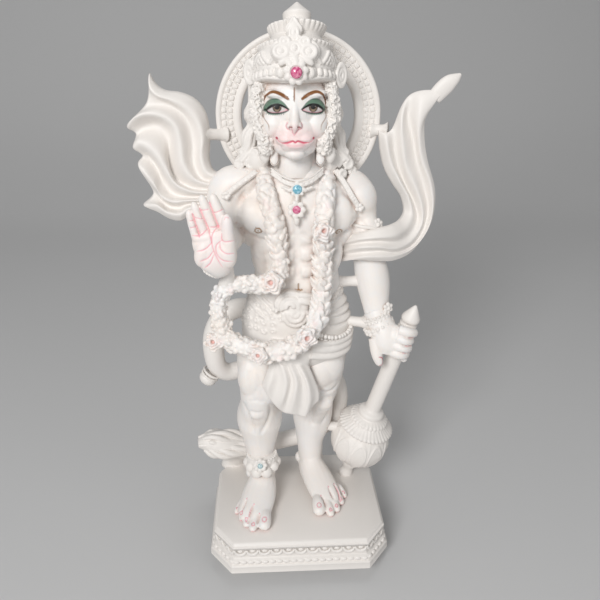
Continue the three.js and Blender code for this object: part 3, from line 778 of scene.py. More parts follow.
def make_plinth():
    bm = bmesh.new()
    under = drawn(sizes().plinth_height)
    inset, height = COURSES[0]
    face = bm.faces.new([bm.verts.new((x, y, height - under)) for x, y in plinth_outline(inset)])
    bmesh.ops.reverse_faces(bm, faces=[face])
    for inset, height in COURSES[1:]:
        grown = bmesh.ops.extrude_face_region(bm, geom=[face])["geom"]
        face = next(g for g in grown if isinstance(g, bmesh.types.BMFace))
        loop = sorted(face.verts, key=lambda v: np.arctan2(v.co.y, v.co.x))
        outline = sorted(plinth_outline(inset), key=lambda p: np.arctan2(p[1], p[0]))
        for vert, (x, y) in zip(loop, outline):
            vert.co = (x, y, height - under)
    bmesh.ops.recalc_face_normals(bm, faces=bm.faces)
    corners = [e for e in bm.edges if abs(e.verts[0].co.z - e.verts[1].co.z) > 0.35]
    bmesh.ops.bevel(
        bm, geom=corners, offset=0.7, offset_type="OFFSET", segments=2, profile=0.5,
        affect="EDGES", material=-1,
    )

    # Each scallop is a hanging crescent, thick at the bottom, with a low middle.
    def scallop(place, turn, outward, width):
        half = width * 0.45
        path = []
        for i in range(9):
            angle = pi * (1 + i / 8)
            low = abs(sin(angle))
            spot = turn @ Vector((cos(angle) * half, -0.5 - 0.5 * low, 27.4 - under - low * 6.2)) + place
            path.append((*spot, 0.9 + 1.3 * low, 1 + 0.8 * low))
        limb(bm, path, sides=8, per=2, facing=tuple(outward))
        core = turn @ Vector((0, 0.3, 25.4 - under)) + place
        ball(bm, core, (half * 0.5, 1.2, 2.6), turn=turn, detail=2)

    def bead(place, turn, outward, width):
        centre = place + Vector((0, 0, 12.7 - under)) - outward * 0.2
        ball(bm, centre, (width * 0.54, 2.6, 2.9), turn=turn, detail=2)

    pitch = drawn(sizes().scallop_pitch)
    plinth_course(7.4, lambda length: max(2, round(length / pitch)), scallop)
    plinth_course(4, lambda length: max(4, round(length / BEAD_PITCH)), bead)
    marble_piece(new_object("plinth", bm))


# Legs and feet

RIGHT_LEG = [
    (-46, 18, 6, 15, 18), (-46, 13, 38, 15.5, 17), (-46, 16, 62, 18, 21), (-46, 19, 80, 22.6, 24),
    (-46, 19, 100, 27.7, 27), (-45.5, 14, 118, 26.8, 25), (-46, 5, 136, 21.8, 25), (-45, 2, 150, 23, 26),
    (-42.5, 4, 170, 27.5, 29), (-38, 12, 205, 33, 35),
]
LEFT_LEG = [
    (18, 46, 6, 14, 18), (19, 40, 36, 15.5, 17), (18.6, 41, 60, 18, 20.5), (21, 41, 82, 23.5, 24),
    (21.5, 36, 104, 25.3, 24), (24, 24, 122, 22, 22), (26, 17, 136, 21.5, 24), (27.5, 15, 158, 25.5, 28),
    (28, 15, 172, 28.5, 30), (29, 15, 208, 31, 34),
]
RIGHT_FOOT = [
    (-44, 36, 12, 12, 13), (-44, 5, 19, 17, 20), (-48, -15, 15, 21, 15), (-52, -32, 11, 21, 11.5),
    (-55, -46, 8, 19, 8.5), (-57, -54, 5.5, 14, 5.5),
]
LEFT_FOOT = [
    (17, 62, 12, 12, 13), (19, 36, 19, 16, 20), (26, 16, 15, 19, 15), (32, -2, 11, 19.5, 11.5),
    (37, -17, 8, 18, 8.5), (40, -27, 5.5, 14, 5.5),
]

# Each toe is (tip, root, radius); each gap runs from its top to the toes' tips.
RIGHT_TOES = [
    ((-42.5, -68), (-40, -38), 7.4), ((-56.5, -68), (-50, -38), 5.2), ((-64.5, -60), (-55, -30), 5),
    ((-70.5, -48.5), (-60, -20), 4.7), ((-76.5, -36), (-66, -8), 4.5),
]
LEFT_TOES = [
    ((25, -46), (24, -16), 7.4), ((39.5, -47), (33, -14), 5.2), ((48, -39), (39, -6), 5),
    ((55, -26), (45, 2), 4.7), ((60, -13), (51, 10), 4.5),
]
RIGHT_GAPS = [
    ((-47.5, -50.9), (-49.9, -62.4)), ((-53.7, -37.5), (-60.9, -56.4)), ((-59.3, -28.4), (-68.4, -47.6)),
    ((-66.4, -16.3), (-73, -36)),
]
LEFT_GAPS = [
    ((27.4, -22.5), (34.1, -41.6)), ((37.6, -8.8), (45.6, -30.6)), ((43.2, -2.8), (52.5, -21.9)),
    ((50.7, 1.3), (57.5, -13)),
]
SHIN_GROOVES = [
    [(-64.3, 144.6), (-60, 131.4), (-54.9, 112.4), (-51.6, 95.2)],
    [(-33.3, 145.8), (-31.7, 130.5), (-37.8, 109.6), (-45.8, 95)],
    [(18.5, 142), (19, 128), (17, 110), (21, 92)],
    [(44, 140), (43.5, 126), (38, 108), (31, 92)],
]


LEG_SWELLS = [
    ((-48, -13, 141), (11.5, 9, 8)), ((-48, -12, 130.5), (11.5, 8.5, 9.5)), ((33, -2, 137), (11, 10, 13)),
    ((29, 6, 124), (9, 8, 9)), ((32, 1, 188), (24, 20, 30)), ((25, -3, 182), (22, 18, 26)),
    ((-35, -8, 168), (16, 18, 30)), ((-52, -6, 176), (18, 20, 30)), ((12, 4, 165), (12, 18, 28)),
    ((-59, 13, 27), (6, 7, 7)), ((5, 43, 27), (6, 7, 7)), ((-33, 13, 27), (6, 7, 7)),
    ((30, 43, 27), (6, 7, 7)),
]


def toe(bm, tip, root, r):
    """A toe that rises from the foot, arches, and comes down to its tip."""
    end, start = Vector((*tip, 0)), Vector((*root, 0))
    way = (end - start).normalized()
    stations = []
    for spot, height, wide, tall in (
        (start, r + 2, r * 0.8, r * 0.7), (start.lerp(end, 0.4), r + 2.2, r * 1.02, r * 1.05),
        (end - way * 8.5, r + 0.4, r * 1.06, r), (end - way * 3, r * 0.85, r * 0.88, r * 0.8),
        (end, r * 0.7, r * 0.42, r * 0.36),
    ):
        stations.append((spot.x, spot.y, height - 1, wide, tall))
    limb(bm, stations, sides=14, per=4, facing=UP)


def gap_line(top, low):
    """A gap between two toes, as places over the foot."""
    middle = (np.array(top) + np.array(low)) / 2
    return [(*top, 13), (*middle, 10), (*low, 4)]


def paint_nail(work, tip, root, r):
    """Paints and cuts a nail's rim, and paints the crease under its toe."""
    end, start = np.array(tip), np.array(root)
    back = (start - end) / np.linalg.norm(start - end)
    across = np.array((-back[1], back[0]))
    rim = []
    for i in range(13):
        angle = tau * i / 12
        spot = end + back * (r * 0.8 + r * 0.5 * sin(angle)) + across * r * 0.5 * cos(angle)
        rim.append((*spot, r * 2.2))
    rim = work.onto(rim)
    work.line(rim, 0.9, LINE_PINK, 0.9, soft=0.9, per=1)
    work.stroke(rim, 0.7, -0.35, per=1, taper=0)
    crease = []
    for angle in (0.2, 1.57, 2.9):
        crease.append((*(end + across * r * cos(angle) + back * r * (1 - sin(angle))), 1.6))
    work.line(work.onto(crease), 1.4, LINE_PINK, 0.65, soft=1.8)


def make_legs():
    bm = bmesh.new()
    limb(bm, RIGHT_LEG, sides=28)
    limb(bm, LEFT_LEG, sides=28)
    balls(bm, LEG_SWELLS)
    for body, toes in ((RIGHT_FOOT, RIGHT_TOES), (LEFT_FOOT, LEFT_TOES)):
        limb(bm, body, facing=UP)
        for tip, root, r in toes:
            toe(bm, tip, root, r)
    work = Carving(fused("legs", bm, drawn(sizes().skin_grain) * 0.92, 6))

    # Shins, knees, thighs and the crease above the left knee
    work.strokes([(groove, 2.6, -2) for groove in SHIN_GROOVES])
    for x, z in ((-48, 136), (33, 130)):
        work.stroke([(x - 8, z), (x, z - 1.5), (x + 8, z)], 2, -0.9)
        work.stroke([(x - 10, z + 14), (x, z + 17), (x + 10, z + 14)], 2.6, -1)
    work.stroke([(-48, 118), (-49, 100), (-47, 72)], 4, 1)
    work.stroke([(27, 112), (25, 96), (22, 70)], 4, 1)
    work.stroke([(-52, 200), (-56, 176), (-54, 154)], 4.5, -1.6)
    work.stroke([(24, 161), (30, 155), (36, 153.5), (43, 155.5), (50, 162)], 2.2, -2.4, taper=0.15)
    work.refresh()

    # Toes: the gaps are cut and painted, and each nail has a painted rim.
    for gaps, toes in ((RIGHT_GAPS, RIGHT_TOES), (LEFT_GAPS, LEFT_TOES)):
        lines = [work.onto(gap_line(top, low)) for top, low in gaps]
        work.strokes([(line, 1.5, -3) for line in lines], taper=0.3)
        work.refresh()
        for line in lines:
            work.line(work.onto(line), 1.3, LINE_PINK, 0.9, soft=1.3)
        for tip, root, r in toes:
            paint_nail(work, tip, root, r)
    work.done(share=0.45)


# Trunk and arms

TRUNK = [
    (0, 14, 188, 52, 31), (0, 14, 208, 63, 38), (0, 13, 240, 61, 37), (0, 12, 275, 52, 32),
    (0, 12, 305, 46.5, 28), (0, 12, 335, 51, 30), (0, 13, 366, 61, 34), (0, 15, 392, 55, 31),
    (-1, 15, 416, 26, 22), (-1, 7, 445, 20, 20),
]
RIGHT_UPPER_ARM = [
    (-50, 18, 400, 16, 19), (-70, 15, 394, 21, 21), (-76, 14, 374, 20.5, 20), (-71, 16, 352, 16.5, 17.5),
    (-68, 18, 338, 12.5, 13.5),
]
RIGHT_FOREARM = [
    (-68, 20, 341, 12, 12), (-72, -4, 343, 15, 15), (-79, -34, 338, 13, 12), (-83, -56, 332, 12, 10.5),
]
SHOULDER_DRAPE = [
    (-84, 18, 388, 10, 9), (-74, 13, 394, 14, 14), (-58, 9, 399, 16, 15), (-40, 12, 406, 12, 13),
]
LEFT_ARM = [
    (50, 18, 398, 17, 19), (65, 18, 386, 19.5, 20), (74, 18, 352, 16, 17.5), (81, 18, 314, 17, 18),
    (87, 14, 286, 19.5, 19.5), (91, 0, 250, 14, 13), (95, -8, 228, 13, 11),
]

# Muscles of the trunk, given for the left side
TRUNK_SWELLS = [
    ((26, -8, 366), (26, 14, 21)), ((43, -1, 366), (22, 16, 22)), ((50, 12, 352), (13, 16, 25)),
    ((32, 32, 385), (26, 12, 26)), ((30, 34, 350), (20, 10, 30)), ((9.5, -14, 345), (10, 6, 9)),
    ((9.5, -14, 326), (10, 6, 9)), ((9.5, -14, 307), (10, 6, 9)), ((10, -12, 286), (11, 7, 12)),
    ((40, 2, 318), (10, 14, 22), 0.18),
]
ARM_SWELLS = [
    ((-66, 19, 338), (11, 12, 11)), ((68, 16, 380), (20, 21, 24), -0.3), ((-72, 12, 382), (19, 17, 25)),
    ((-33, 16, 408), (14, 12, 11)), ((29, 16, 408), (14, 12, 11)), ((76, 10, 345), (14, 14, 22), 0.12),
]

# Edges of the chest, collarbone, belly, flank, ribs and shoulder blade, as (line, width, height)
TRUNK_GROOVES = [
    ([(62, 366), (57, 350), (42, 341), (20, 342), (2, 351)], 3, -2.8),
    ([(52, 396), (59, 382), (61, 368)], 3, -1.8),
    ([(6, 408), (24, 412), (46, 409)], 3.5, 1.6),
    *(([(2, z), (10, z - 1), (19, z + 1)], 2.4, -1.5) for z in (336, 317, 298)),
    ([(21, 340), (22, 318), (20, 296), (16, 280)], 3.2, -1.7),
    *(([(46, z), (38, z - 7), (30, z - 8)], 2.4, -1) for z in (344, 333, 322)),
    ([(2.5, 34, 400), (14, 45, 390), (22, 48, 365), (16, 46, 345)], 5, -1.6),
]
NAVEL = (
    [(0.9, 293), (0.9, 287)], [(-3, 286.5), (-1, 285.5), (1, 287)], [(1, 287), (2.8, 285.5), (4.6, 286.5)],
)


def make_trunk():
    bm = bmesh.new()
    limb(bm, TRUNK, sides=36)
    paired(bm, TRUNK_SWELLS)
    limb(bm, RIGHT_UPPER_ARM, sides=24)
    limb(bm, RIGHT_FOREARM, sides=24, facing=UP)
    limb(bm, LEFT_ARM, sides=26)
    limb(bm, SHOULDER_DRAPE, sides=24)
    balls(bm, ARM_SWELLS)
    work = Carving(fused("trunk_and_arms", bm, drawn(sizes().skin_grain) * 1.04, 9))

    # Breastbone, both sides of the trunk, backbone and arms
    work.stroke([(-1.5, 396), (-1.5, 360), (-1, 330), (0, 294)], 3.2, -2, taper=0.08)
    for side in SIDES:
        work.strokes([([(x * side, *rest) for x, *rest in line], *cut) for line, *cut in TRUNK_GROOVES])
    work.stroke([(0, 44, 408), (0, 50, 380), (0, 44, 330), (0, 44, 290)], 5, -3)
    work.stroke([(66, 362), (74, 352), (82, 346)], 3, -1.6)
    work.stroke([(92, -4, 330), (93, -8, 312), (88, -10, 296)], 4, -1)
    work.refresh()
    for x, z in ((-41.5, 352.5), (44.5, 349)):
        work.mound((x, -12, z), (2.2, 12, 2.2), 0.9)
        rim = [(x + 3.2 * cos(tau * i / 14), z + 3.3 * sin(tau * i / 14)) for i in range(15)]
        work.line(rim, 1.3, GOLD_BROWN, 0.95, soft=0.8, per=1)
        work.disc((x, z), 0.9, GOLD_BROWN, 0.9, soft=0.9)
    for mark in NAVEL:
        work.line(mark, 1.5, GOLD_BROWN, 0.9, soft=0.9, per=1)
        work.stroke(mark, 1.2, -0.8, per=1)
    work.line([(-17, 421), (-1, 424), (16, 421)], 4, BLUSH, 0.5, soft=6)
    work.done(share=0.42)


# Hands

RAISED_PALM = [
    (-82, -57, 320, 7, 6), (-81.6, -60, 327, 14, 9), (-82.6, -62, 336, 19, 10.5),
    (-83.3, -62, 345, 20.7, 10), (-84.4, -61.5, 357, 21.8, 9), (-86, -61, 366, 19, 7.5),
]

# Each finger is (tip, base, radius), as places (x, z) on the palm's plane.
RAISED_FINGERS = [
    ((-107.6, 387.6), (-101.8, 361), 4.5), ((-102.6, 395.2), (-92.3, 362.5), 4.9),
    ((-94.8, 401.8), (-82.4, 364.5), 5.1), ((-84.4, 402.8), (-72.2, 368.5), 5.5),
]
PALM_Y = -61
RAISED_THUMB = [
    (-71, -63, 340, 9), (-70, -65.5, 354, 7.8), (-70.2, -67, 366, 6.3), (-70.3, -68, 376, 5.6),
    (-70.5, -68, 381, 4.2), (-70.5, -68, 384.3, 1.8),
]
FINGER_GAPS = [
    [(-87.3, 397.1), (-83.4, 384), (-78.8, 370.1)], [(-96.1, 389), (-92.6, 379), (-89, 369.6)],
    [(-103.4, 384.3), (-100.6, 373), (-97.6, 362.4)],
]
PALM_LINES = [
    [(-78.3, 372), (-84.6, 365.5), (-85.8, 357.6), (-83.5, 347.1), (-76.5, 332)],
    [(-89, 369.6), (-86.8, 362), (-85.5, 355)],
    [(-75.8, 365.9), (-75.5, 359.2), (-64.4, 359)],
    [(-75.4, 359.8), (-81.4, 354.4), (-81.7, 347.1), (-76.8, 340.2), (-65.8, 338.1)],
    [(-77.9, 357.4), (-77.5, 350.7), (-72.4, 346.9), (-64.9, 346.1)],
    [(-85.5, 357.5), (-92.2, 350.9), (-100.8, 348.3)],
    [(-84.7, 348.9), (-90.4, 341.6), (-98.4, 338.3)],
    [(-84.3, 345.2), (-88.3, 336.6), (-94.1, 331)],
    [(-104.8, 362.8), (-96.4, 363.8), (-89.1, 369.8)],
    [(-87.2, 371.5), (-82.8, 371.2), (-78.5, 372)],
]
FINGER_CREASES = [
    [(-106.6, 370.7), (-101.4, 371.6)], [(-101, 380.8), (-94.5, 379.4)], [(-94.4, 387.6), (-88, 388.8)],
    [(-82.6, 385.2), (-74.8, 388)], [(-106, 377.6), (-102.6, 377.8)],
]


RAISED_WRIST = [(-80, -44, 336, 13, 12), (-82.5, -54, 334, 12.4, 11), (-83.5, -61, 335, 11, 9)]
PALM_PADS = [
    ((-72, -66, 344), (9.5, 8, 15), -0.2), ((-95, -65, 345), (9, 7, 15), 0.25),
    ((-87, -65, 361), (18, 5, 6), -0.1),
]

# How full a finger is, as (share of its length, share of its radius)
FINGER_SHAPE = ((0, 1.04), (0.4, 1), (0.48, 1.02), (0.7, 0.92), (0.86, 0.82), (0.95, 0.62), (1, 0.25))


def make_raised_hand():
    bm = bmesh.new()
    limb(bm, RAISED_PALM, sides=26)
    limb(bm, RAISED_WRIST, sides=22, facing=UP)
    balls(bm, PALM_PADS)
    limb(bm, RAISED_THUMB, sides=16)
    for tip, base, r in RAISED_FINGERS:
        b, t = (Vector((x, PALM_Y, z)) for x, z in (base, tip))
        b -= (t - b) * 0.12
        limb(bm, [(*b.lerp(t, share), r * size) for share, size in FINGER_SHAPE], sides=16, per=4)
    work = Carving(fused("raised_hand", bm, 0.74, 4))
    gaps = [[(x, PALM_Y - 3, z) for x, z in gap] for gap in FINGER_GAPS]
    work.strokes([(gap, 1.2, -1) for gap in gaps], taper=0.1)
    work.strokes([(line, 1, -0.6) for line in PALM_LINES])
    work.strokes([(crease, 0.9, -0.5) for crease in FINGER_CREASES], per=1, taper=0)
    work.refresh()
    for line in PALM_LINES:
        work.line(line, 1, LINE_PINK, 0.8, soft=0.8, taper=0.2)
    for gap in FINGER_GAPS:
        work.line(gap, 1.3, LINE_PINK, 0.8, soft=0.9)
    for crease in FINGER_CREASES:
        work.line(crease, 0.8, LINE_PINK, 0.75, soft=0.8, per=1)
    work.line([(-72.6, 380), (-71.2, 382.4), (-68.6, 381.6)], 0.7, LINE_PINK, 0.6, soft=0.8)
    work.patch([(-64, 384), (-108, 388), (-106, 330), (-70, 326)], BLUSH, 0.15, soft=12, per=1)
    work.done()


# Each finger runs from its knuckle over two joints to its hidden tip.
GRIP_FINGERS = [
    ((113, -23, 238), (123, -26, 236), (130.5, -20, 232.5), (130, -8, 229)),
    ((112, -24, 228.5), (119.5, -27.5, 226.5), (126, -22, 223.5), (126.5, -9, 220)),
    ((109, -24, 219.5), (117.5, -27.5, 217.4), (124.5, -22, 214.5), (125, -9, 211)),
    ((106, -23, 211), (115.5, -27, 209), (122, -21, 206.2), (122, -9, 203)),
]
GRIP_THUMB = [
    (89, -14, 224, 8.6), (89.5, -19, 210, 7), (91.5, -22, 201, 5.6), (93.2, -22.5, 196, 4),
    (93.6, -22, 194, 2),
]
THUMB_NAIL = [(91.5, 206.5), (95, 205), (96.6, 200.5), (95.6, 196.6), (92.4, 195.4)]


HAND_BACK = [
    (90, 0, 252, 14, 13), (94, -7, 240, 14.6, 13), (99.5, -14, 228, 16.4, 13), (102, -17, 217, 15.4, 12.5),
    (101, -18, 208, 11, 9),
]


def make_lowered_hand():
    bm = bmesh.new()
    limb(bm, HAND_BACK, sides=24)
    ball(bm, (107, -17, 226), (11, 11, 16), lean=0.3)
    limb(bm, GRIP_THUMB, sides=16)
    for knuckle, joint, bend, tip in GRIP_FINGERS:
        end = (tip[0] - 1, tip[1] + 4, tip[2], 2)
        stations = [(*knuckle, 6), (*joint, 5.6), (*bend, 5.1), (*tip, 4.6), end]
        limb(bm, stations, sides=16, facing=UP)
    ball(bm, (121.6, -17, 199.4), (4.4, 5, 4.6))
    work = Carving(fused("lowered_hand", bm, 0.84, 4))
    for first, second in zip(GRIP_FINGERS[:-1], GRIP_FINGERS[1:]):
        middle = [(np.array(a) + np.array(b)) / 2 for a, b in zip(first, second)]
        shifts = ((2, -4, 0), (0, -4, 0), (3, -2, 0))
        line = [tuple(spot + shift) for spot, shift in zip(middle, shifts)]
        work.stroke(line, 1.2, -1.2, taper=0.3)
        work.line(line[1:], 1.2, LINE_PINK, 0.8, soft=1.2, per=1)
    work.line([(115, -25, 203.4), (119, -23, 202.6), (124, -19, 201.6)], 1.2, LINE_PINK, 0.7, soft=1.2)
    work.line([(131, -24, 229.6), (134, -20, 230.6), (135, -15, 231)], 1, LINE_PINK, 0.8, soft=1)
    work.line(THUMB_NAIL, 1, NAIL_PINK, 0.95, soft=0.7)
    work.stroke(THUMB_NAIL, 0.8, -0.4)
    work.done()


# Head. Places on the face are given from its own middle.

def face(points):
    """Places on the face's left side, or across its middle."""
    return [(HEAD_X + p[0], *p[1:]) for p in points]


def other_side(points):
    """The same places on the face's other side."""
    return face(mirrored(points, EYE_MIDDLE))


EYE_MIDDLE = -0.5
NOSE_X = -1.6
NOSTRILS = (-5.3, 2.9)
WING = [(-8, 465.5), (-9.4, 462.4), (-8, 459.4), (-5.9, 459.6)]
LIP_CREASES = [[(-4.2, 460), (-3.2, 457), (-2.1, 454)], [(3.5, 461), (1, 457), (-1.4, 453.8)]]
EAR_LOBES = (-21, 26)
LEFT_EYE = [
    (-7.2, 476.9), (-11.5, 479.2), (-17, 480.4), (-22.6, 479.2), (-27, 475.8), (-22.8, 474.6),
    (-15.9, 474.8),
]
SOCKET = [
    (-6.4, 477.2), (-11.2, 481), (-17.4, 483), (-23.8, 481.6), (-28.8, 476), (-27.6, 474.6), (-22.8, 473.6),
    (-15.9, 474),
]
LOWER_LASH = [(-29.4, 475.2), (-25.6, 473.2), (-19.5, 472.6), (-13, 474), (-7.2, 476.4)]
LID = [
    (-6.2, 477.4), (-12.2, 484.2), (-18.8, 487.2), (-25.8, 484.8), (-30.6, 477.5), (-29.4, 474.4),
    (-23.8, 479.6), (-17.6, 481.4), (-11.8, 480),
]
BROW = [(-7.4, 487.2), (-14.6, 491.6), (-21.5, 493.4), (-26.6, 491.2), (-30.2, 485.5), (-31.6, 477.5)]
CHEEK_LINE = [(-31.6, 476.2), (-30.6, 469.3), (-26.2, 462.5), (-25.7, 457.6)]
MOUTH = [
    (-13.4, 446.2), (-9, 446.2), (-5.6, 447.4), (-2.9, 448.2), (-0.6, 447), (1.7, 448.2), (4.6, 447.4),
    (8, 446.3), (12.4, 446.6),
]


MOUTH_CORNER = [(-18.2, 450.2), (-16.4, 447.6), (-13.4, 446.3)]
UPPER_LASH = [(-7.2, 477.8), (-11.6, 480.6), (-17.2, 482.2), (-23.2, 480.8), (-28.6, 476.2)]
LOWER_LINE = [(-29, 476.4), (-26.2, 473.9), (-19.5, 473.5), (-13, 474.2), (-7.2, 476.6)]
WATER_LINE = [(-26.4, 475.4), (-22.4, 474.4), (-15.9, 474.8), (-9, 476.6)]
IRIS = (-17.9, 479)

# Lids, cheeks and the mouth's ends, cut on both sides as (line, width, height)
FACE_GROOVES = [
    ([(-7, 480), (-12, 485.5), (-19, 488), (-26, 486), (-31, 479)], 2, -0.6), (SOCKET[:5], 1.3, 0.8),
    (LOWER_LASH, 1.2, 0.45), ([(-29, 470), (-21, 467.5), (-11, 471)], 3.5, -0.6),
    ([(-18.2, 450.4), (-16.5, 447.6), (-13.4, 446.2)], 1.4, -0.8),
    ([(-12, 457), (-19, 452), (-21, 445), (-17, 438)], 3.2, -0.7),
]
LIP_GROOVES = [
    ([(-12, 448), (-5, 449.6), (-0.6, 448.8), (4, 449.6), (11, 448)], 1.5, 0.7),
    ([(-10, 443.6), (-0.6, 442.6), (9, 443.6)], 2, 1), ([(-7, 438.5), (-0.6, 437.8), (6, 438.5)], 2, -0.6),
]
SKULL = [
    ((0, 6, 479), (38, 42, 41)), ((0, -9, 455), (28, 29, 24)), ((0, -13, 444), (24, 20, 16)),
    ((-0.5, -25, 446), (16, 14, 12)),
]
CHEEKS = [((20, -21.5, 463), (12.5, 11, 15)), ((17.3, -24, 479), (11.5, 9.5, 8))]
NOSE_BRIDGE = [
    (-0.4, -29, 495, 7, 4.5), (-0.8, -31.4, 482, 5.2, 5), (-1.3, -34.6, 471, 4.8, 5),
    (NOSE_X, -38, 463.4, 5, 5.2), (-1.7, -36.8, 458.6, 3.4, 4.2), (-1.7, -35.8, 454.6, 1.7, 2.6),
    (-1.7, -35, 451.6, 0.7, 1.2),
]
EAR_LOBE = ((-8, 440, 3.6, 4), (-12, 430, 4.6, 4), (-12, 423, 4.2, 3.6), (-11, 420, 1.6, 2))
LOBE_RIM = ((-4, 434), (-4.4, 426), (0, 421), (4.4, 426), (4, 434))


def make_head():
    bm = bmesh.new()
    for centre, radii in SKULL:
        ball(bm, centre, radii, detail=4)
    paired(bm, CHEEKS, detail=4)
    paired(bm, [((9, -28, 450), (11, 10, 9)), ((17, -27, 490), (13, 7, 5), -0.2)])
    for side in SIDES:
        ball(bm, (NOSE_X + 5 * side, -37, 462.6), (3.4, 3.8, 3.6))
    ball(bm, (-0.5, -24, 435), (11, 11, 7.6))
    limb(bm, NOSE_BRIDGE)
    limb(bm, [(0, 8, 452, 22, 24), (0, 6, 430, 20, 20), (0, 8, 408, 20, 20)], sides=30)
    for x in EAR_LOBES:
        limb(bm, [(x, *row) for row in EAR_LOBE], sides=14)
    on_head(bm)
    work = Carving(fused("head", bm, 0.66, 6))
    for turn in (face, other_side):
        work.strokes([(turn(line), *cut) for line, *cut in FACE_GROOVES])
    for nostril in NOSTRILS:
        rim = [(nostril - 1.2, 461.3), (nostril, 461.9), (nostril + 1.2, 461.5)]
        work.stroke(face(rim), 1.2, -1.5, taper=0.1)
    wings = (WING, mirrored(WING, NOSE_X))
    work.strokes([(face(wing), 1.1, -0.9) for wing in wings])
    work.strokes([(face(crease), 1.1, -0.6) for crease in LIP_CREASES])
    work.stroke(face(MOUTH), 1.1, -1.2, taper=0.1)
    work.strokes([(face(line), *cut) for line, *cut in LIP_GROOVES])
    work.refresh()

    # Blush first, then eyes, brows, nose and mouth over it
    for x in (-15, 14):
        work.disc((HEAD_X + x, 450), 8, BLUSH, 0.5, soft=13)
    work.disc((HEAD_X - 0.6, 450), 8, BLUSH, 0.5, soft=18)
    work.disc((HEAD_X + NOSE_X, 458), 6, BLUSH, 0.3, soft=9)
    for turn in (face, other_side):
        paint_eye(work, turn)
        work.line(turn(CHEEK_LINE), 0.8, LINE_BROWN, 0.75, soft=0.7, taper=0.2)
        work.disc(turn([(-18.4, 450.3)])[0], 1.2, DOT_RED, soft=0.6)
        work.line(turn(MOUTH_CORNER), 0.8, LIP_PINK, 0.6, soft=0.8)
    for wing in wings:
        work.line(face(wing), 0.7, LINE_PINK, 0.7, soft=0.6)
    for nostril in NOSTRILS:
        slit = face([(nostril - 1.2, 461.3), (nostril + 1.2, 461.5)])
        work.line(slit, 1.3, NOSTRIL_RED, 0.9, soft=0.7, per=1)
    for crease in LIP_CREASES:
        work.line(face(crease), 0.7, LINE_PINK, 0.7, soft=0.6)
    lower_lip = [(-12, 445.6), (-0.6, 445), (11, 445.8), (6, 441.6), (-0.6, 440.4), (-7, 441.6)]
    work.patch(face(lower_lip), LIP_PALE, 0.22, soft=2.4)
    work.line(face(MOUTH), 1.7, LIP_PINK, soft=0.8, taper=0.15)
    work.line(face([(-8, 444.4), (-0.6, 443.8), (7, 444.6)]), 1.8, LIP_PINK, 0.3, soft=1.8)
    mark = face([(-1.2, 497.4), (-1.3, 491), (-1.4, 484.6)])
    work.line(mark, 1.4, BROW_BROWN, 0.95, soft=0.6, taper=0.2)
    for x in EAR_LOBES:
        work.line(face([(x + aside, z) for aside, z in LOBE_RIM]), 0.7, LINE_BROWN, 0.6)
    work.done(share=0.45)


def paint_eye(work, turn):
    """Paints one eye, its lashes and its brow. `turn` carries the left eye's places to the side meant."""
    opening = turn(LEFT_EYE)
    outline = fair([(*p, 0) for p in [*opening, opening[0]]], 6)[:, :2]

    def held(co):
        return inside(co[:, [0, 2]], outline)

    work.patch(turn(LID), LID_GREEN, soft=0.7)
    work.line(turn(LID[:6]), 0.8, LID_EDGE, 0.6, soft=0.7)
    work.line(turn(LOWER_LASH), 1.3, LID_GREEN, 0.9, soft=0.7, taper=0.15)
    work.patch(turn(SOCKET), LASH_BLACK, soft=0.7)
    work.patch(turn(LEFT_EYE), EYE_WHITE, soft=0.5)
    work.line(turn(WATER_LINE), 0.6, LIP_PALE, 0.8, soft=0.5)
    work.line(turn([(-7.4, 476.6), (-9.4, 477.4)]), 1.2, LIP_PALE, soft=0.8, per=1)
    x, z = turn([IRIS])[0]
    for low, high, width, tint, strength, soft in (
        (0, 0.01, 8.6, LASH_BLACK, 1, 0.5), (0, 0.01, 7.4, IRIS_BROWN, 1, 0.5),
        (-2.2, -2.1, 3.6, IRIS_PALE, 0.7, 1.4), (0.8, 0.9, 5.2, LASH_BLACK, 1, 0.5),
    ):
        work.line([(x, z + low), (x, z + high)], width, tint, strength, soft=soft, per=1, limit=held)
    work.line(turn(UPPER_LASH), 1.5, LASH_BLACK)
    work.line(turn(LOWER_LINE), 0.9, LASH_BLACK, 0.9, soft=0.5)
    for k in range(9):
        x, z = turn([(-27.5 + 2 * k, 473.4 - 0.25 * min(k, 4) + 0.28 * max(k - 4, 0))])[0]
        away = 0.5 * np.sign(x - HEAD_X - EYE_MIDDLE)
        work.line([(x, z), (x + away, z - 1.1)], 0.4, LID_EDGE, 0.8, soft=0.4, per=1)

    # The brow thins out towards the temple.
    brow = fair([(*p, 0) for p in turn(BROW)], 8)[:, :2]
    for i, (start, end) in enumerate(zip(brow[:-1], brow[1:])):
        share = i / (len(brow) - 2)
        width = (2.5 + 0.9 * min(share / 0.1, 1)) * (1 - 0.72 * share)
        work.line([tuple(start), tuple(end)], width, BROW_BROWN, soft=0.55, per=1)
    work.line(turn(BROW[3:]), 0.8, TAIL_BROWN, 0.8, soft=0.6, taper=0.3)


# Hair

WHISKERS = [
    (-34, -12, 501, 6, 7), (-36.2, -13, 490, 5.8, 7.5), (-37.4, -14, 478, 6.4, 8), (-37, -16, 468, 6.6, 8.5),
    (-33, -18, 457, 7, 8.5), (-29.5, -18, 447, 7.2, 8.5), (-29, -16, 439, 6.6, 7.5), (-29.6, -14, 432, 5, 6),
]
LONG_HAIR = [
    (37.5, 12, 505), (37.5, 14, 492), (38.5, 14, 480), (42.6, 14, 468), (40, 14, 458), (45.6, 14, 448),
    (46.5, 14, 434), (55, 14, 418),
]
BIG_CURLS = [
    (46, 12, 440, 4.6), (52, 8, 430, 5.2), (45, 4, 420, 5.4), (57, 8, 418, 5.6), (40, 2, 430, 4.4),
    (62, 12, 409, 5), (50, 2, 408, 5), (38, 4, 412, 5.4),
]


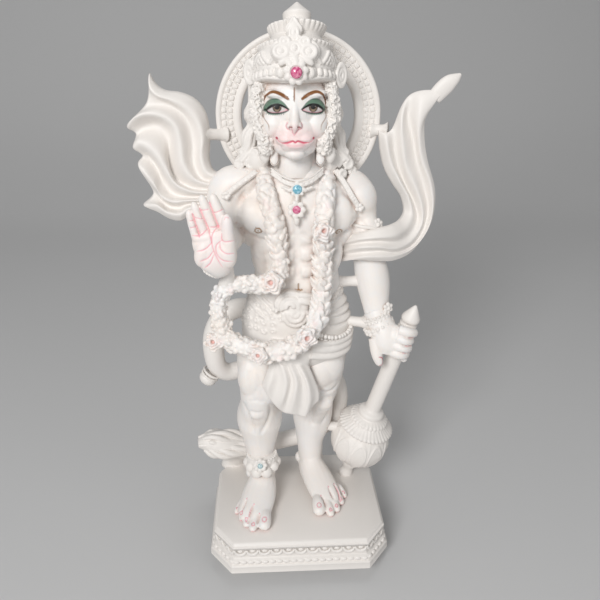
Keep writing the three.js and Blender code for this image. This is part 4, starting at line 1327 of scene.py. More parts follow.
def curl(bm, place, radius, turns, thick, lift, sides):
    """A short spiral of hair lying on a surface."""
    path = []
    for i in range(7):
        angle = tau * turns * i / 6
        reach = radius * (1 - 0.55 * i / 6)
        spot = place @ Vector((reach * cos(angle), reach * sin(angle), lift * sin(pi * i / 6)))
        path.append((*spot, thick * (0.7 + 0.3 * sin(pi * i / 6))))
    limb(bm, path, sides=sides, per=2, facing=tuple(place.to_3x3() @ Vector(UP)))


def whiskers(bm, side, rng):
    """A tapering side whisker covered with rows of small curls, and its smooth tip."""
    roll = [(x * -side, y, z, wide, deep) for x, y, z, wide, deep in WHISKERS]
    limb(bm, roll, per=5)
    for i, (x, y, z, wide, deep) in enumerate(fair(roll, 5)[1:-1]):
        for across in np.linspace(-1.05, 0.85, 3) + 0.3 * (i % 2):
            angle = across * 1.2 * side
            spot = (x + wide * sin(angle), y - deep * cos(angle) - 0.9, z + rng.uniform(-0.6, 0.6))
            place = pointing(spot, (sin(angle) * 0.8, -cos(angle), 0.1))
            place = place @ spin(rng.uniform(0, tau))
            radius = rng.uniform(2.2, 2.8)
            curl(bm, place, radius, turns=0.6, thick=rng.uniform(0.95, 1.15), lift=0.7, sides=7)
    x = side * (30.6 if side < 0 else 36)
    limb(bm, [(x, -10, 437, 5, 5), (x, -12, 429, 5.6, 5), (x, -12, 422.5, 2, 2)], sides=14)


def long_lock(bm, side):
    """A lock of waved strands down to the shoulder, ending in big curls."""
    lock = fair([(x * side, y, z) for x, y, z in LONG_HAIR], 5)
    limb(bm, [(*p, 6, 9) for p in lock[::4]], sides=16, per=4)
    for k in range(9):
        wave = []
        for i, (x, y, z) in enumerate(lock):
            angle = tau * k / 9 + (0.09 * i + 0.25 * sin(0.4 * i)) * side
            thick = 2.7 + 0.4 * sin(0.5 * i + k)
            wave.append((x + 6.2 * cos(angle), y + 9 * sin(angle), z, thick))
        limb(bm, wave[::2], sides=9, per=3)
    for x, y, z, radius in BIG_CURLS:
        place = pointing((x * side, y, z), (0.45 * side, -1, 0.1)) @ spin(z)
        curl(bm, place, radius, turns=1.2 * side, thick=2.4, lift=1, sides=10)
        ball(bm, place @ Vector((0, 0, -2.5)), (radius * 0.9, 5, radius * 0.9), detail=2)
    ball(bm, (37 * side, 7, 423), (11, 10, 14))


def make_hair():
    rng = np.random.default_rng(7)
    bm = bmesh.new()
    for side in SIDES:
        whiskers(bm, side, rng)
        long_lock(bm, side)

    # Waves down the back of the head
    ball(bm, (0, 18, 474), (37.5, 24, 40), detail=4)
    for k in range(19):
        across = (k - 9) / 9
        wave = []
        for i in range(17):
            t = i / 16
            x = across * (35 + 6 * t) + 2.2 * sin(7 * t + 0.5 * k)
            y = 42 - 22 * across**2 - 5 * t + 2 * sin(6 * t + 0.5 * k)
            wave.append((x, y, 506 - 98 * t, 4.2 - 1.2 * t))
        limb(bm, wave, sides=9, per=2)
    on_head(bm)
    Carving(fused("hair", bm, 0.62, 1)).done(share=0.26)


# Crown

# Drop of the crown's rim towards its back, as a slope
CROWN_TILT = 0.27
CROWN_SHELL = [
    (0, 494), (36, 492.8), (41, 493), (42.4, 494), (42.4, 495), (41.4, 495.8), (40.8, 497), (40.8, 505),
    (41.6, 506), (41.6, 507.4), (40.8, 508.4), (41.2, 511), (41.4, 515), (40.6, 519), (38.6, 523.5),
    (36.4, 526.4), (35.2, 527.2), (35.6, 528.2), (36.6, 529.8), (36.7, 531.4), (35.6, 532.2), (32, 533.2),
    (28.5, 536), (25.6, 539), (24.6, 540.2), (25.2, 541.4), (27.2, 545.6), (28.6, 549), (28.2, 550.2),
    (26.4, 550.8), (20, 552), (15, 554), (13.2, 556), (13.4, 557.2), (13.8, 559.8), (13.8, 562),
    (13.2, 562.8), (7, 567.6), (0.9, 572.6), (0, 573),
]
RIM_BEADS = 37
CROWN_LEAVES = 10

# A leaf's rim, as (share of its half width, share of its height), and the dome's radius by height
LEAF_RIM = ((-1, 0), (-0.62, 0.36), (-0.3, 0.72), (0, 1), (0.3, 0.72), (0.62, 0.36), (1, 0))
DOME_HEIGHTS, DOME_RADII = (508.4, 511, 515, 519, 523.5), (40.8, 41.2, 41.4, 40.6, 38.6)
MEDALLION_SCROLLS = [
    (-0.8, 0.8, 6.4, 6.8, 2), (-13.2, -1.6, 7.6, 6.6, 2.5), (12.8, -1.8, 7.6, 6.6, 2.5),
    (-9.4, 7.4, 5.2, 4.2, 2.1), (8.8, 7.4, 5.2, 4.2, 2.1),
]


TOP_LEAF = [
    (-1.5, -29, 538, 7, 4), (-1.5, -30, 546, 7.2, 4), (-1.5, -29.5, 551, 6.8, 3.4),
    (-1.5, -28.6, 555.4, 4, 2.4), (-1.5, -28, 558.4, 0.8, 1),
]
TOP_ARCH = [
    (-8.7, -30, 546.6), (-8.2, -31, 550), (-5.2, -30.6, 553.6), (-1.5, -29, 558.6), (2.2, -30.6, 553.6),
    (5.1, -31, 550), (5.6, -30, 546.6),
]


def petal_ring(bm, base, axis, radius, count, size, flat, start=0):
    """Round petals set round a middle, each an egg lying outwards."""
    place = pointing(base, axis)
    for k in range(count):
        turn = spin(start + tau * k / count) @ Matrix.Translation((radius, 0, 0))
        ball(bm, (0, 0, 0), (size[0], size[1], size[1] * flat), turn=place @ turn, detail=2)


def scroll(bm, place, wide, high, thick):
    """An oval loop with a bud in it."""
    path = []
    for i in range(17):
        angle = tau * i / 16
        path.append((*(place @ Vector((0.8 * wide * cos(angle), 0.8 * high * sin(angle), 0))), thick))
    limb(bm, path, sides=10, per=3, facing=tuple(place.to_3x3() @ Vector(UP)))
    ball(bm, place @ Vector((0, 0, -0.2)), (wide * 0.5, thick * 1.2, high * 0.5))


def crown_flutes(z, angle):
    """Lobes of the crown's two flared tiers."""
    cup = np.clip((z - 541) / 7, 0, 1) * (z < 550.6)
    lower = np.clip((z - 527.4) / 3, 0, 1) * (z < 532.6)
    upper_lobes = np.abs(np.cos(angle * 15.5)) ** 0.7 - 0.75
    lower_lobes = np.abs(np.cos(angle * 20.5)) ** 0.7 - 0.75
    return 2.6 * cup * upper_lobes + 2 * lower * lower_lobes


def make_crown():
    bm = bmesh.new()
    turned(bm, CROWN_SHELL, (0, 0, 0), UP, steps=260, oval=0.98, relief=crown_flutes)

    # Band of upright oval beads between two rims
    for k in range(RIM_BEADS):
        angle = tau * (k + 0.5) / RIM_BEADS
        centre = (41.2 * sin(angle), -40.4 * cos(angle), 500.6)
        ball(bm, centre, (3.2, 2.6, 5.2), turn=spin(angle))

    # Pointed leaves round the dome, each with a smaller one inside
    for k in range(CROWN_LEAVES):
        middle = tau * (k + 0.5) / CROWN_LEAVES
        for wide, low, high, thick in ((12.6, 509.4, 522.6, 1.8), (6.4, 510, 517.8, 1.5)):
            path = []
            for x, share in LEAF_RIM:
                z = low + (high - low) * share
                radius = np.interp(z, DOME_HEIGHTS, DOME_RADII) + 0.3
                angle = middle + x * wide / 41
                path.append((radius * sin(angle), -radius * 0.98 * cos(angle), z, thick))
            limb(bm, path, sides=8, per=4)
        ball(bm, (40.6 * sin(middle), -39.8 * cos(middle), 512.2), (2.4, 2.4, 2.4), detail=2)

    # The body leans back, its top a little to the figure's left, and its rim is thinner at the temples.
    for vert in bm.verts:
        x, y, z = vert.co
        if y < 0:
            z += 3.6 * min(max((abs(x) - 12) / 18, 0), 1) * min(max((499 - z) / 3, 0), 1)
        vert.co = (x + 2.9 * min(max((z - 518) / 31, 0), 1), y, z - CROWN_TILT * y)

    # Rosette round the forehead stone
    seat = (-0.3, -44.5, 511.8)
    lean = (0, -1, 0.1)
    petal_ring(bm, seat, lean, 8.2, 9, (4.4, 3.7), flat=0.85, start=pi / 2)
    cup = [(0, -6), (7.4, -6), (7.8, -0.6), (6.8, 2.4), (6, 4.6), (5.5, 3.2), (0, 2.8)]
    turned(bm, cup, seat, lean, steps=36)
    paired(bm, [((11, -42, 521.6), (6.5, 2.6, 3.4), 0.62), ((14, -39.8, 511), (4, 2.6, 5))])

    # Medallion of scrolls above it
    middle = (-0.7, -38.6, 530.5)
    slope = (0, -1, 0.34)
    disc = [(0, -8), (21, -8), (23.4, -3), (23.2, -0.6), (21.8, 0.8), (19.6, 0.9), (18, 0.2), (0, 2)]
    turned(bm, disc, middle, slope, steps=64, oval=0.6)
    place = pointing(middle, slope)
    for x, y, wide, high, thick in MEDALLION_SCROLLS:
        scroll(bm, place @ Matrix.Translation((x, y, 1.4)), wide, high, thick)
    ball(bm, place @ Vector((-0.8, 0.8, 1.8)), (3.2, 2.4, 3.8))
    ball(bm, place @ Vector((-1, -8, 1.4)), (4.4, 2.6, 3.4))
    for side in SIDES:
        ball(bm, place @ Vector((-0.8 + 7.4 * side, -9.2, 0.8)), (5.2, 2.2, 2.4), lean=0.45 * side)

    # Loop and pointed leaf over the medallion
    scroll(bm, pointing((-1.5, -33, 545.4), (0, -1, 0.3)), 4.8, 6.2, 1.7)
    limb(bm, TOP_LEAF)
    limb(bm, [(*p, 1.4) for p in TOP_ARCH], sides=8, per=5)

    # Shells over the temples
    for side in SIDES:
        place = upright((44.6, -8, 507) if side > 0 else (-42.4, -6, 510), (0.7 * side, -1, 0))
        for reach, thick in ((5.6, 1.9), (2.4, 1.5)):
            seat = place @ Matrix.Translation((0, 0, 2))
            ring(bm, seat, FRONT, reach, thick, steps=30, sides=8, oval=1.7)
        ball(bm, (0, 0, 0), (6.4, 10.6, 2.4), turn=place)
    on_head(bm)
    Carving(fused("crown", bm, 0.62, 1)).done(share=0.3)


# Halo

HALO_CENTRE = (4, 45, 463)
HALO_CELLS = 72

# The ring's section, as (out from the inner rim, forwards from the front face) up to the outer rim
HALO_FACE = [
    (-0.1, -2.2), (1.2, -0.4), (4, 0.2), (7.4, -0.4), (8.6, -1.3), (9, -1.5), (14.4, -1.5), (14.8, -1.1),
    (15.4, -1.1), (15.8, -1.5), (21.2, -1.5), (21.8, -0.8), (23, -0.2),
]


def make_halo():
    outer, inner = drawn(sizes().halo_radius), drawn(sizes().halo_inner)
    half = 6.5
    profile = [
        (inner, -half + 1), *((inner + out, half + forward) for out, forward in HALO_FACE),
        (outer - 1.6, half), (outer - 0.2, half - 1.4), (outer, -half + 1), (outer - 1, -half),
        (inner + 1, -half), (inner, -half + 1),
    ]
    bm = bmesh.new()
    turned(bm, profile, HALO_CENTRE, FRONT, steps=180)
    place = pointing(HALO_CENTRE, FRONT)
    for out, size in ((18.5, (5, 5.9, 2.6)), (11.7, (5, 5.2, 2.6))):
        for k in range(HALO_CELLS):
            turn = spin(tau * k / HALO_CELLS)
            spot = place @ turn @ Matrix.Translation((inner + out, 0, half - 1.6))
            part = bmesh.new()
            bmesh.ops.create_cube(part, size=1, matrix=Matrix.Diagonal((*size, 1)))
            bmesh.ops.bevel(
                part, geom=part.edges[:], offset=1.1, offset_type="OFFSET", segments=2, profile=0.5,
                affect="EDGES", material=-1,
            )
            bmesh.ops.transform(part, matrix=spot, verts=part.verts)
            pour(part, bm)
    marble_piece(new_object("halo", bm))


# Scarves

# Flow lines of the cloth, alternately in a hollow and on a ridge
FAN_LINES = [
    [(-78, 24, 406), (-88, 28, 409), (-92, 31, 420), (-91, 34, 436), (-91, 35, 454), (-95, 35, 471),
     (-105, 33, 483), (-119, 32, 489), (-133, 31, 491), (-140, 30, 495), (-144, 29, 500), (-146, 28, 504)],
    [(-80, 20, 402), (-95, 20, 409), (-100, 22, 424), (-98, 24, 445), (-103, 24, 464), (-114, 23, 476),
     (-129, 22, 483), (-141, 22, 487), (-148, 24, 494), (-149, 27, 506)],
    [(-82, 20, 398), (-101, 26, 401), (-109, 30, 416), (-109, 32, 438), (-112, 32, 456), (-120, 31, 469),
     (-134, 30, 477), (-147, 30, 478), (-154, 30, 479)],
    [(-83, 16, 394), (-108, 17, 402), (-119, 18, 418), (-121, 19, 439), (-125, 19, 457), (-136, 19, 466),
     (-151, 19, 469), (-164, 20, 466), (-175, 24, 457)],
    [(-84, 18, 390), (-114, 26, 392), (-131, 31, 403), (-135, 34, 423), (-135, 35, 442), (-141, 35, 452),
     (-149, 35, 455), (-160, 33, 453), (-168, 31, 447)],
    [(-84, 14, 387), (-113, 15, 390), (-128, 16, 398), (-137, 17, 414), (-145, 18, 429), (-155, 19, 438),
     (-164, 20, 440), (-171, 23, 434)],
    [(-84, 17, 384), (-119, 24, 382), (-134, 28, 386), (-143, 30, 398), (-148, 31, 411), (-155, 32, 421),
     (-163, 30, 425)],
    [(-84, 12, 381), (-118, 14, 380), (-132, 15, 379), (-144, 16, 385), (-151, 17, 398), (-159, 18, 409),
     (-167, 22, 415)],
    [(-84, 15, 378), (-117, 20, 374), (-128, 23, 370), (-139, 25, 372), (-148, 26, 380), (-154, 26, 387)],
    [(-84, 11, 375), (-115, 10, 372), (-125, 11, 366), (-138, 12, 368), (-150, 15, 375), (-165, 22, 374)],
    [(-83, 15, 371), (-114, 16, 363), (-126, 18, 356), (-137, 19, 358), (-149, 20, 365), (-158, 22, 369)],
]
SIDE_LINES = [
    [(46, 20, 332), (66, 0, 345), (84, -4, 350), (102, 4, 352), (115, 20, 354), (121, 31, 361),
     (117, 34, 377), (107, 34, 391), (97, 34, 409), (92, 34, 427), (89, 32, 449)],
    [(46, 16, 328), (69, -8, 341), (88, -10, 343), (106, -3, 343), (122, 15, 347), (129, 25, 358),
     (124, 26, 378), (113, 26, 397), (103, 26, 416), (98, 25, 434), (96, 27, 447)],
    [(46, 19, 324), (70, -4, 336), (89, -4, 337), (108, 3, 334), (127, 19, 338), (137, 30, 351),
     (133, 33, 369), (123, 34, 388), (113, 34, 409), (107, 33, 429), (104, 31, 451)],
    [(46, 15, 320), (70, -10, 332), (89, -10, 332), (108, -2, 328), (129, 14, 332), (141, 24, 348),
     (140, 25, 367), (131, 25, 390), (120, 25, 411), (115, 24, 431), (112, 25, 453), (112, 30, 473)],
    [(46, 18, 315), (71, -4, 325), (90, -4, 326), (109, 3, 322), (131, 18, 326), (145, 29, 343),
     (148, 32, 364), (141, 33, 391), (131, 33, 418), (126, 33, 441), (120, 34, 463), (121, 32, 485)],
    [(46, 15, 311), (70, -9, 321), (89, -9, 321), (108, -1, 319), (132, 14, 324), (148, 24, 342),
     (152, 25, 366), (147, 25, 393), (136, 25, 419), (131, 24, 442), (130, 24, 464), (134, 28, 490)],
    [(46, 18, 306), (64, -4, 316), (86, -4, 314), (106, 2, 312), (128, 14, 317), (143, 24, 331),
     (153, 28, 350), (156, 30, 369), (154, 30, 389), (144, 30, 418), (139, 30, 443), (139, 30, 462),
     (148, 28, 478), (157, 26, 490)],
]
SCARF_BACK = [
    (-74, 30, 394, 14, 6), (-50, 44, 396, 12, 6), (-10, 50, 378, 12, 5), (26, 45, 344, 12, 5),
    (50, 22, 314, 12, 5),
]


SCARF_END = [
    (146, 28, 482, 8, 4), (153, 27, 490, 9, 4.6), (160, 26, 497, 8.5, 4.6), (167, 26, 502, 5.5, 4),
    (172, 26, 506, 1.5, 1.5),
]


def make_scarves():
    bm = bmesh.new()
    sheet(bm, FAN_LINES, 120, 64, thickness=8.5)
    sheet(bm, SIDE_LINES, 84, 110, thickness=8)
    limb(bm, SCARF_END, sides=20)

    def folded(v, angle):
        return 1 + 0.12 * np.cos(5 * angle)

    limb(bm, SCARF_BACK, sides=24, facing=UP, swell=folded)
    marble_piece(new_object("scarf", bm))


# Waist cloth

FLAP_LINES = [
    [(-32, -24, 205), (-34, -27, 197), (-38, -28, 185), (-41.7, -28, 175.4)],
    [(-29, -28, 207), (-30, -33, 192), (-35, -34, 176), (-36, -31, 165)],
    [(-24, -30, 208), (-22, -32, 190), (-27, -32, 170), (-31, -30, 156)],
    [(-18.4, -34, 205), (-14.3, -38, 185), (-18.9, -37, 162), (-25, -32, 149)],
    [(-13, -31, 205), (-8, -33, 185), (-12, -33, 162), (-17.1, -30, 140.3)],
    [(-9.6, -34, 205), (-2.7, -38, 185), (-5.4, -38, 164.6), (-10, -33, 140)],
    [(-4, -31, 205), (4, -33, 185), (4, -33, 160), (0.3, -30, 135.6)],
    [(1.2, -33, 204), (10, -37, 182), (12, -36, 160), (8, -32, 135.2)],
    [(6, -28, 203), (15, -31, 182), (19, -30, 163), (16, -28, 146)],
    [(10, -24, 203), (18, -28, 183), (24.2, -27, 164), (24, -26, 153)],
]
HEM = [
    (64, 10, 234, 3.2), (59, -7, 226, 3.6), (44, -21, 224.5, 3.8), (30, -27, 226, 3.8), (14, -31, 229, 3.4),
]
HIP_FOLDS = [
    [(62.8, 273.5), (49.2, 270.3), (35.1, 266.7)], [(64.5, 263.2), (49.4, 258.7), (35.1, 257)],
    [(64.8, 252.8), (49.7, 249.9), (34.5, 250.2)], [(64, 243), (50, 240.5), (34, 242.5)],
]
RIGHT_FOLDS = [
    [(-49.2, 274.6), (-37.6, 265.4), (-27.2, 255)], [(-41.2, 277.4), (-30.9, 268.9), (-21.3, 260)],
    [(-54.8, 267.3), (-43, 257.5), (-33.9, 250.4)],
]
HIP_BORDER = [(56, 302), (49.1, 292.2), (48, 281.6), (42.2, 274.1), (33, 267), (22, 262)]


HIPS = [
    (0, 14, 193, 55, 34), (0, 14, 203, 63, 39), (0, 13.5, 222, 63.5, 39.5), (0, 13, 242, 62.5, 38.5),
    (0, 12.5, 262, 57.5, 35), (0, 12, 278, 51, 31), (0, 12, 286, 45, 27),
]
KNOT = [
    ((-7, -20, 276), (15, 9, 12), 0.3), ((-3, -21, 266), (16, 9, 12)), ((-19, -16, 268), (9, 8, 9)),
    ((-3, -20, 257), (15, 8, 17)),
]
KNOT_ENDS = [
    [(0, -27, 284, 3), (8, -26, 283, 3.6), (15, -22, 280, 3.2)],
    [(1, -28, 277, 3), (9, -26.5, 275.5, 3.6), (16, -22, 272, 3.2)],
]
HEM_BEADS = [(64, 8, 240), (59, -8, 232), (45, -23, 231), (30, -30, 235), (18, -33, 242)]


def knot_loops(bm, x, y, z, squeeze, angles, loops):
    """Rolls of cloth bent round a point of the knot, each given as (reach, how far it stands out)."""
    for reach, out in loops:
        arc = [(x + squeeze * reach * cos(a), y - out, z + reach * sin(a), 2.6) for a in angles]
        limb(bm, arc, sides=12, per=3)


def make_waist_cloth():
    bm = bmesh.new()
    sheet(bm, FLAP_LINES, 80, 56, thickness=7)
    limb(bm, [(-6, -24, 228, 24, 8), (-8, -27, 212, 23, 9), (-9, -26, 200, 21, 8)], sides=24)
    limb(bm, HIPS, sides=48)
    for drop, size in ((0, 1), (8, 1.15), (16.5, 1.1)):
        limb(bm, [(x * (1 - drop * 0.002), y, z - drop, r * size) for x, y, z, r in HEM], sides=16)
    balls(bm, KNOT)
    knot_loops(bm, -9, -23.5, 271, 1, np.linspace(-0.3, pi + 0.5, 9), ((4, 6.5), (9.5, 4.5), (15, 1.5)))
    knot_loops(bm, -3, -25.5, 264, 0.8, np.linspace(pi, tau, 9), ((5, 2.5), (11, 2.5), (17, 0.5)))
    for end in KNOT_ENDS:
        limb(bm, end, sides=12)
    work = Carving(fused("waist_cloth", bm, 1.02, 3))

    # Folds drawn slanting over the left hip, under a carved border
    for fold in HIP_FOLDS:
        work.stroke(fold, 1.8, -2.2, taper=0.15)
        work.stroke([(x + 0.6, z + 4.4) for x, z in fold], 2.6, 1.4, taper=0.15)
    border = fair([(*p, 0) for p in HIP_BORDER], 5)[:, :2]
    work.stroke([tuple(p + (2.6, 3)) for p in border], 1, 1.3, taper=0)
    work.stroke([tuple(p - (2.4, 3.2)) for p in border], 1, 1.3, taper=0)
    for i, (x, z) in enumerate(border):
        way = 1 if i % 2 else -1
        leaf = [(x - 2.6, z - 1.5 * way), (x - 0.4, z + 1.8 * way), (x + 2.2, z + 0.6 * way)]
        work.stroke(leaf, 1, 1.2, taper=0.2)

    # Folds sagging round the back
    for low in (274, 262, 250, 238, 226, 214):
        fold = []
        for x in np.linspace(-56, 56, 11):
            depth = 13 + 36 * np.sqrt(1 - (x / 66) ** 2)
            fold.append((x, depth, low - 9 * (1 - (x / 56) ** 2) + 0.06 * x))
        fold = work.onto(fold)
        work.stroke(fold, 2.2, -2, taper=0.15)
        work.stroke([(x, y, z + 4.6) for x, y, z in fold], 2.6, 1.2, taper=0.15)

    # Carved cloth over the right hip: slanting folds among small spirals
    for fold in RIGHT_FOLDS:
        work.stroke(fold, 1.4, 1.4, taper=0.1)
        work.stroke([(x + 2.4, z + 2.4) for x, z in fold], 1.2, -1.2, taper=0.1)
    rng = np.random.default_rng(5)
    for row in range(6):
        for column in range(6):
            x = -62 + 8.4 * column + rng.uniform(-1, 1)
            z = 282 - 8.6 * row + rng.uniform(-1, 1) - 0.1 * (x + 40)
            if x > -24 - 0.6 * (262 - z) + 10 or z > 262 + 0.9 * (-24 - x) * 0.5:
                continue
            start = rng.uniform(0, tau)
            spiral = []
            for i in range(8):
                reach, angle = 3.4 - 0.42 * i, start + 0.95 * i
                spiral.append((x + reach * cos(angle), z + reach * sin(angle)))
            work.stroke(spiral, 1, 1.5, taper=0.1)
    work.refresh()
    beads = bmesh.new()
    beaded(beads, HEM_BEADS, 2.5, 4.9, squash=1.1)
    beaded(beads, [(x * 1.005, y - 0.5, z - 4.2) for x, y, z in HEM_BEADS], 1, 2.1)
    work.done(share=0.62, extra=beads)


# Garland

GARLAND = [
    (-35, 8, 412, 9), (-32, -17, 392, 10), (-24, -26, 362, 11), (-21, -25, 334, 10), (-20, -27, 310, 10.5),
    (-34, -36, 300, 11), (-52, -38, 302, 11), (-72, -40, 301, 10.5), (-84, -38, 283, 10.5),
    (-84, -38, 258, 11), (-77, -40, 240, 11), (-60, -43, 232, 12.5), (-36, -46, 226, 13),
    (-10, -45, 229, 12.5), (10, -40, 241, 11.5), (22, -32, 262, 10.5), (25, -26, 290, 10.5),
    (26, -25, 320, 10.5), (26, -27, 350, 10.5), (28, -22, 380, 10.5), (33, 8, 410, 9),
]
ROSES = [
    ((24.7, -40, 358), 11.2), ((-29, -46, 305), 12.4), ((7, -55, 245), 12), ((-44, -59, 228), 9.6),
    ((-92, -44, 238), 10.4),
]
# Rows of a frill on the rope, as (share of the rope's radius, height, ripple)
FRILL = (
    (0.7, -4.6, 0), (0.86, -3.4, 0.3), (0.97, -1.2, 0.9), (1.03, 1, 1.5), (1.02, 2.9, 1.7), (0.93, 3.6, 1.3),
    (0.82, 2.8, 0.8), (0.66, 1, 0.2),
)
PETALS_ABOVE = 350

# The shares of the rope that carry frills. Blossoms cover what lies between.
RUFFLED = ((0, 0.2), (0.665, 1))

# A rose 11.5 wide, as three cups of petals, each with its rows of (radius, height, ripple),
# its count of petals and its place
ROSE_RADIUS = 11.5
ROSE_CUPS = (
    ([
        (0, -7, 0), (7, -6.4, 0), (10.2, -4.6, 0.6), (11.6, -1.8, 1.3), (11.4, 0.4, 1.5), (10.2, 1.6, 1.3),
        (8.8, 0.6, 0.6), (7.6, -1.4, 0), (0, -3, 0),
    ], 5, (0, 0)),
    ([
        (0, -5, 0), (6.8, -3.6, 0), (8.2, -0.4, 0.6), (8.4, 2.2, 1), (7.2, 3.4, 0.9), (5.8, 2.4, 0.5),
        (5, -0.2, 0), (0, -2, 0),
    ], 4, (0.5, 0.4)),
    ([
        (0, -3, 0), (4.6, -2, 0), (5.6, 1.6, 0.4), (5.2, 4, 0.6), (3.9, 4.6, 0.5), (2.7, 3.2, 0.2),
        (2, 0.2, 0), (0, -1, 0),
    ], 3, (0.2, 0.9)),
)


def rose(bm, centre, radius, axis, start):
    """Thick ragged petals wrapped round a small hollow heart."""
    r = radius / ROSE_RADIUS
    place = pointing(centre, axis)
    for profile, lobes, shift in ROSE_CUPS:
        rows = [(a * r, b * r, c * r) for a, b, c in profile]
        spot = place @ Matrix.Translation((shift[0] * r, shift[1] * r, 0))
        bloom(bm, spot, rows, lobes, around=44, start=start + lobes, dip=1)


def blossom(bm, centre, outward, radius, petals, angle):
    """A puffy flower of round lobes."""
    place = pointing(centre, outward) @ spin(angle)
    tilt = Matrix.Rotation(-0.35, 4, "Y")
    for k in range(petals):
        turn = spin(tau * k / petals)
        turn = place @ (turn @ Matrix.Translation((radius * 0.52, 0, -radius * 0.05))) @ tilt
        ball(bm, (0, 0, 0), (radius * 0.5, radius * 0.44, radius * 0.32), turn=turn, detail=2)
    ball(bm, place @ Vector((0, 0, radius * 0.2)), (radius * 0.2,) * 3, detail=2)


class Rope:
    """The garland's middle line, with its radius and its directions at each distance along it."""

    def __init__(self):
        rows = fair(GARLAND, 24)
        self.length = run_along(rows[:, :3])
        self.total = self.length[-1]
        self.rows = list(zip(rows, *frames_along(rows[:, :3], FRONT)))

    def at(self, distance):
        return self.rows[min(max(int(np.searchsorted(self.length, distance)), 1), len(self.rows) - 1)]


def frilled(bm, rope, low, high, rng):
    """Soft petals lying anyhow near the shoulders, and wavy frills stacked along the rope below."""
    distance = low * rope.total + 3
    while distance < high * rope.total - 3:
        row, way, across, front = rope.at(distance)
        way = way if way[2] > 0 else -way
        r = row[3] * rng.uniform(0.96, 1.05)
        if row[2] > PETALS_ABOVE:
            for k in range(5):
                angle = tau * (k + rng.uniform(0, 0.8)) / 5
                outward = across * cos(angle) + front * sin(angle) + way * rng.uniform(-0.5, 0.2)
                place = pointing(tuple(row[:3] + outward * r * 0.74), tuple(outward))
                place = place @ spin(rng.uniform(0, tau))
                ball(bm, (0, 0, 0), (rng.uniform(4.5, 7.5), rng.uniform(3.2, 5), 2.8), turn=place)
            distance += 6
            continue
        tilt = way + np.array((rng.normal(0, 0.13), rng.normal(0, 0.08), 0))
        place = pointing(tuple(row[:3]), tuple(tilt)) @ spin(rng.uniform(0, tau))
        lobes = int(rng.integers(4, 7))
        start, twist = rng.uniform(0, tau), rng.uniform(-1, 1)
        cup = [(0, -5, 0), *((r * share, *rest) for share, *rest in FRILL), (0, 0.4, 0)]
        bloom(bm, place, cup, lobes, around=52, start=start, dip=1.5, twist=twist)
        distance += 7.6 * rng.uniform(0.85, 1.15)


def flowered(bm, rope, low, high, rng):
    """Blossoms packed all round the rope."""
    distance = low * rope.total
    index = 0
    while distance < high * rope.total:
        row, way, across, front = rope.at(distance)
        r = row[3]
        size = 7.2 + 0.5 * (r - 10)
        for k in range(4):
            angle = tau * (k + 0.5 * (index % 2)) / 4 + rng.uniform(-0.25, 0.25)
            outward = across * cos(angle) + front * sin(angle)
            spot = row[:3] + outward * r * 0.62 + way * rng.uniform(-1.4, 1.4)
            aim = outward + rng.normal(0, 0.25, 3)
            petals = sizes().blossoms if rng.uniform() > 0.4 else sizes().blossoms - 1
            blossom(bm, tuple(spot), tuple(aim), rng.uniform(0.9, 1.2) * size, petals, rng.uniform(0, 2))
        distance += 9.4
        index += 1


def make_garland():
    rng = np.random.default_rng(11)
    bm = bmesh.new()
    rope = Rope()
    limb(bm, [(x, y, z, r * 0.8) for x, y, z, r in GARLAND], per=5)
    for low, high in RUFFLED:
        frilled(bm, rope, low, high, rng)
    flowered(bm, rope, RUFFLED[0][1], RUFFLED[1][0], rng)
    for k, (centre, radius) in enumerate(ROSES):
        rose(bm, centre, radius, (0.25 if centre[0] > 0 else -0.25, -1, 0.15), k)
    work = Carving(fused("garland", bm, 0.74, 1))
    for (x, y, z), radius in ROSES:
        work.line([(x, y, z), (x, y - 0.1, z)], radius * 0.3, ROSE_PINK, 0.75, soft=2.6, per=1)
        work.line([(x, y, z), (x, y - 0.1, z)], radius * 1.2, BLUSH, 0.2, soft=8, per=1)
    for _ in range(16):
        row = rope.at(rng.uniform(0, rope.total))[0]
        spot = row[:3] + np.array((rng.uniform(-5, 5), -row[3], rng.uniform(-5, 5)))
        work.line([tuple(spot), tuple(spot + 0.1)], 3, BLUSH, 0.4, soft=7, per=1)
    work.done(share=0.45)


# Tail

TAIL = [
    (-10, 42, 216, 11), (-42, 48, 234, 12), (-68, 43, 241, 12), (-88, 37, 232, 12), (-98, 34, 211, 12.5),
    (-99, 33, 187, 12.5), (-95, 34, 168, 11.5), (-84, 39, 158, 11), (-58, 46, 160, 11), (-20, 52, 162, 11),
    (25, 55, 160, 10.5), (49, 53, 142, 10), (58, 51, 116, 9.5), (54, 53, 88, 10), (38, 58, 64, 10.5),
    (10, 62, 48, 11), (-20, 61, 41, 11), (-52, 57, 37, 12),
]
TUFT = [
    (-50, 57, 35, 11, 12), (-74, 54, 40, 15, 17), (-94, 50, 46, 17, 19), (-112, 47, 51, 14, 15),
    (-127, 45, 51, 5, 7),
]


TUFT_REST = [(-84, 73, -4, 17, 12), (-83, 72, 6, 15, 11.5), (-81, 67, 18, 16, 12), (-84, 58, 34, 17, 12)]
TAIL_BAND_AXIS = (0.56, 0, 0.8)


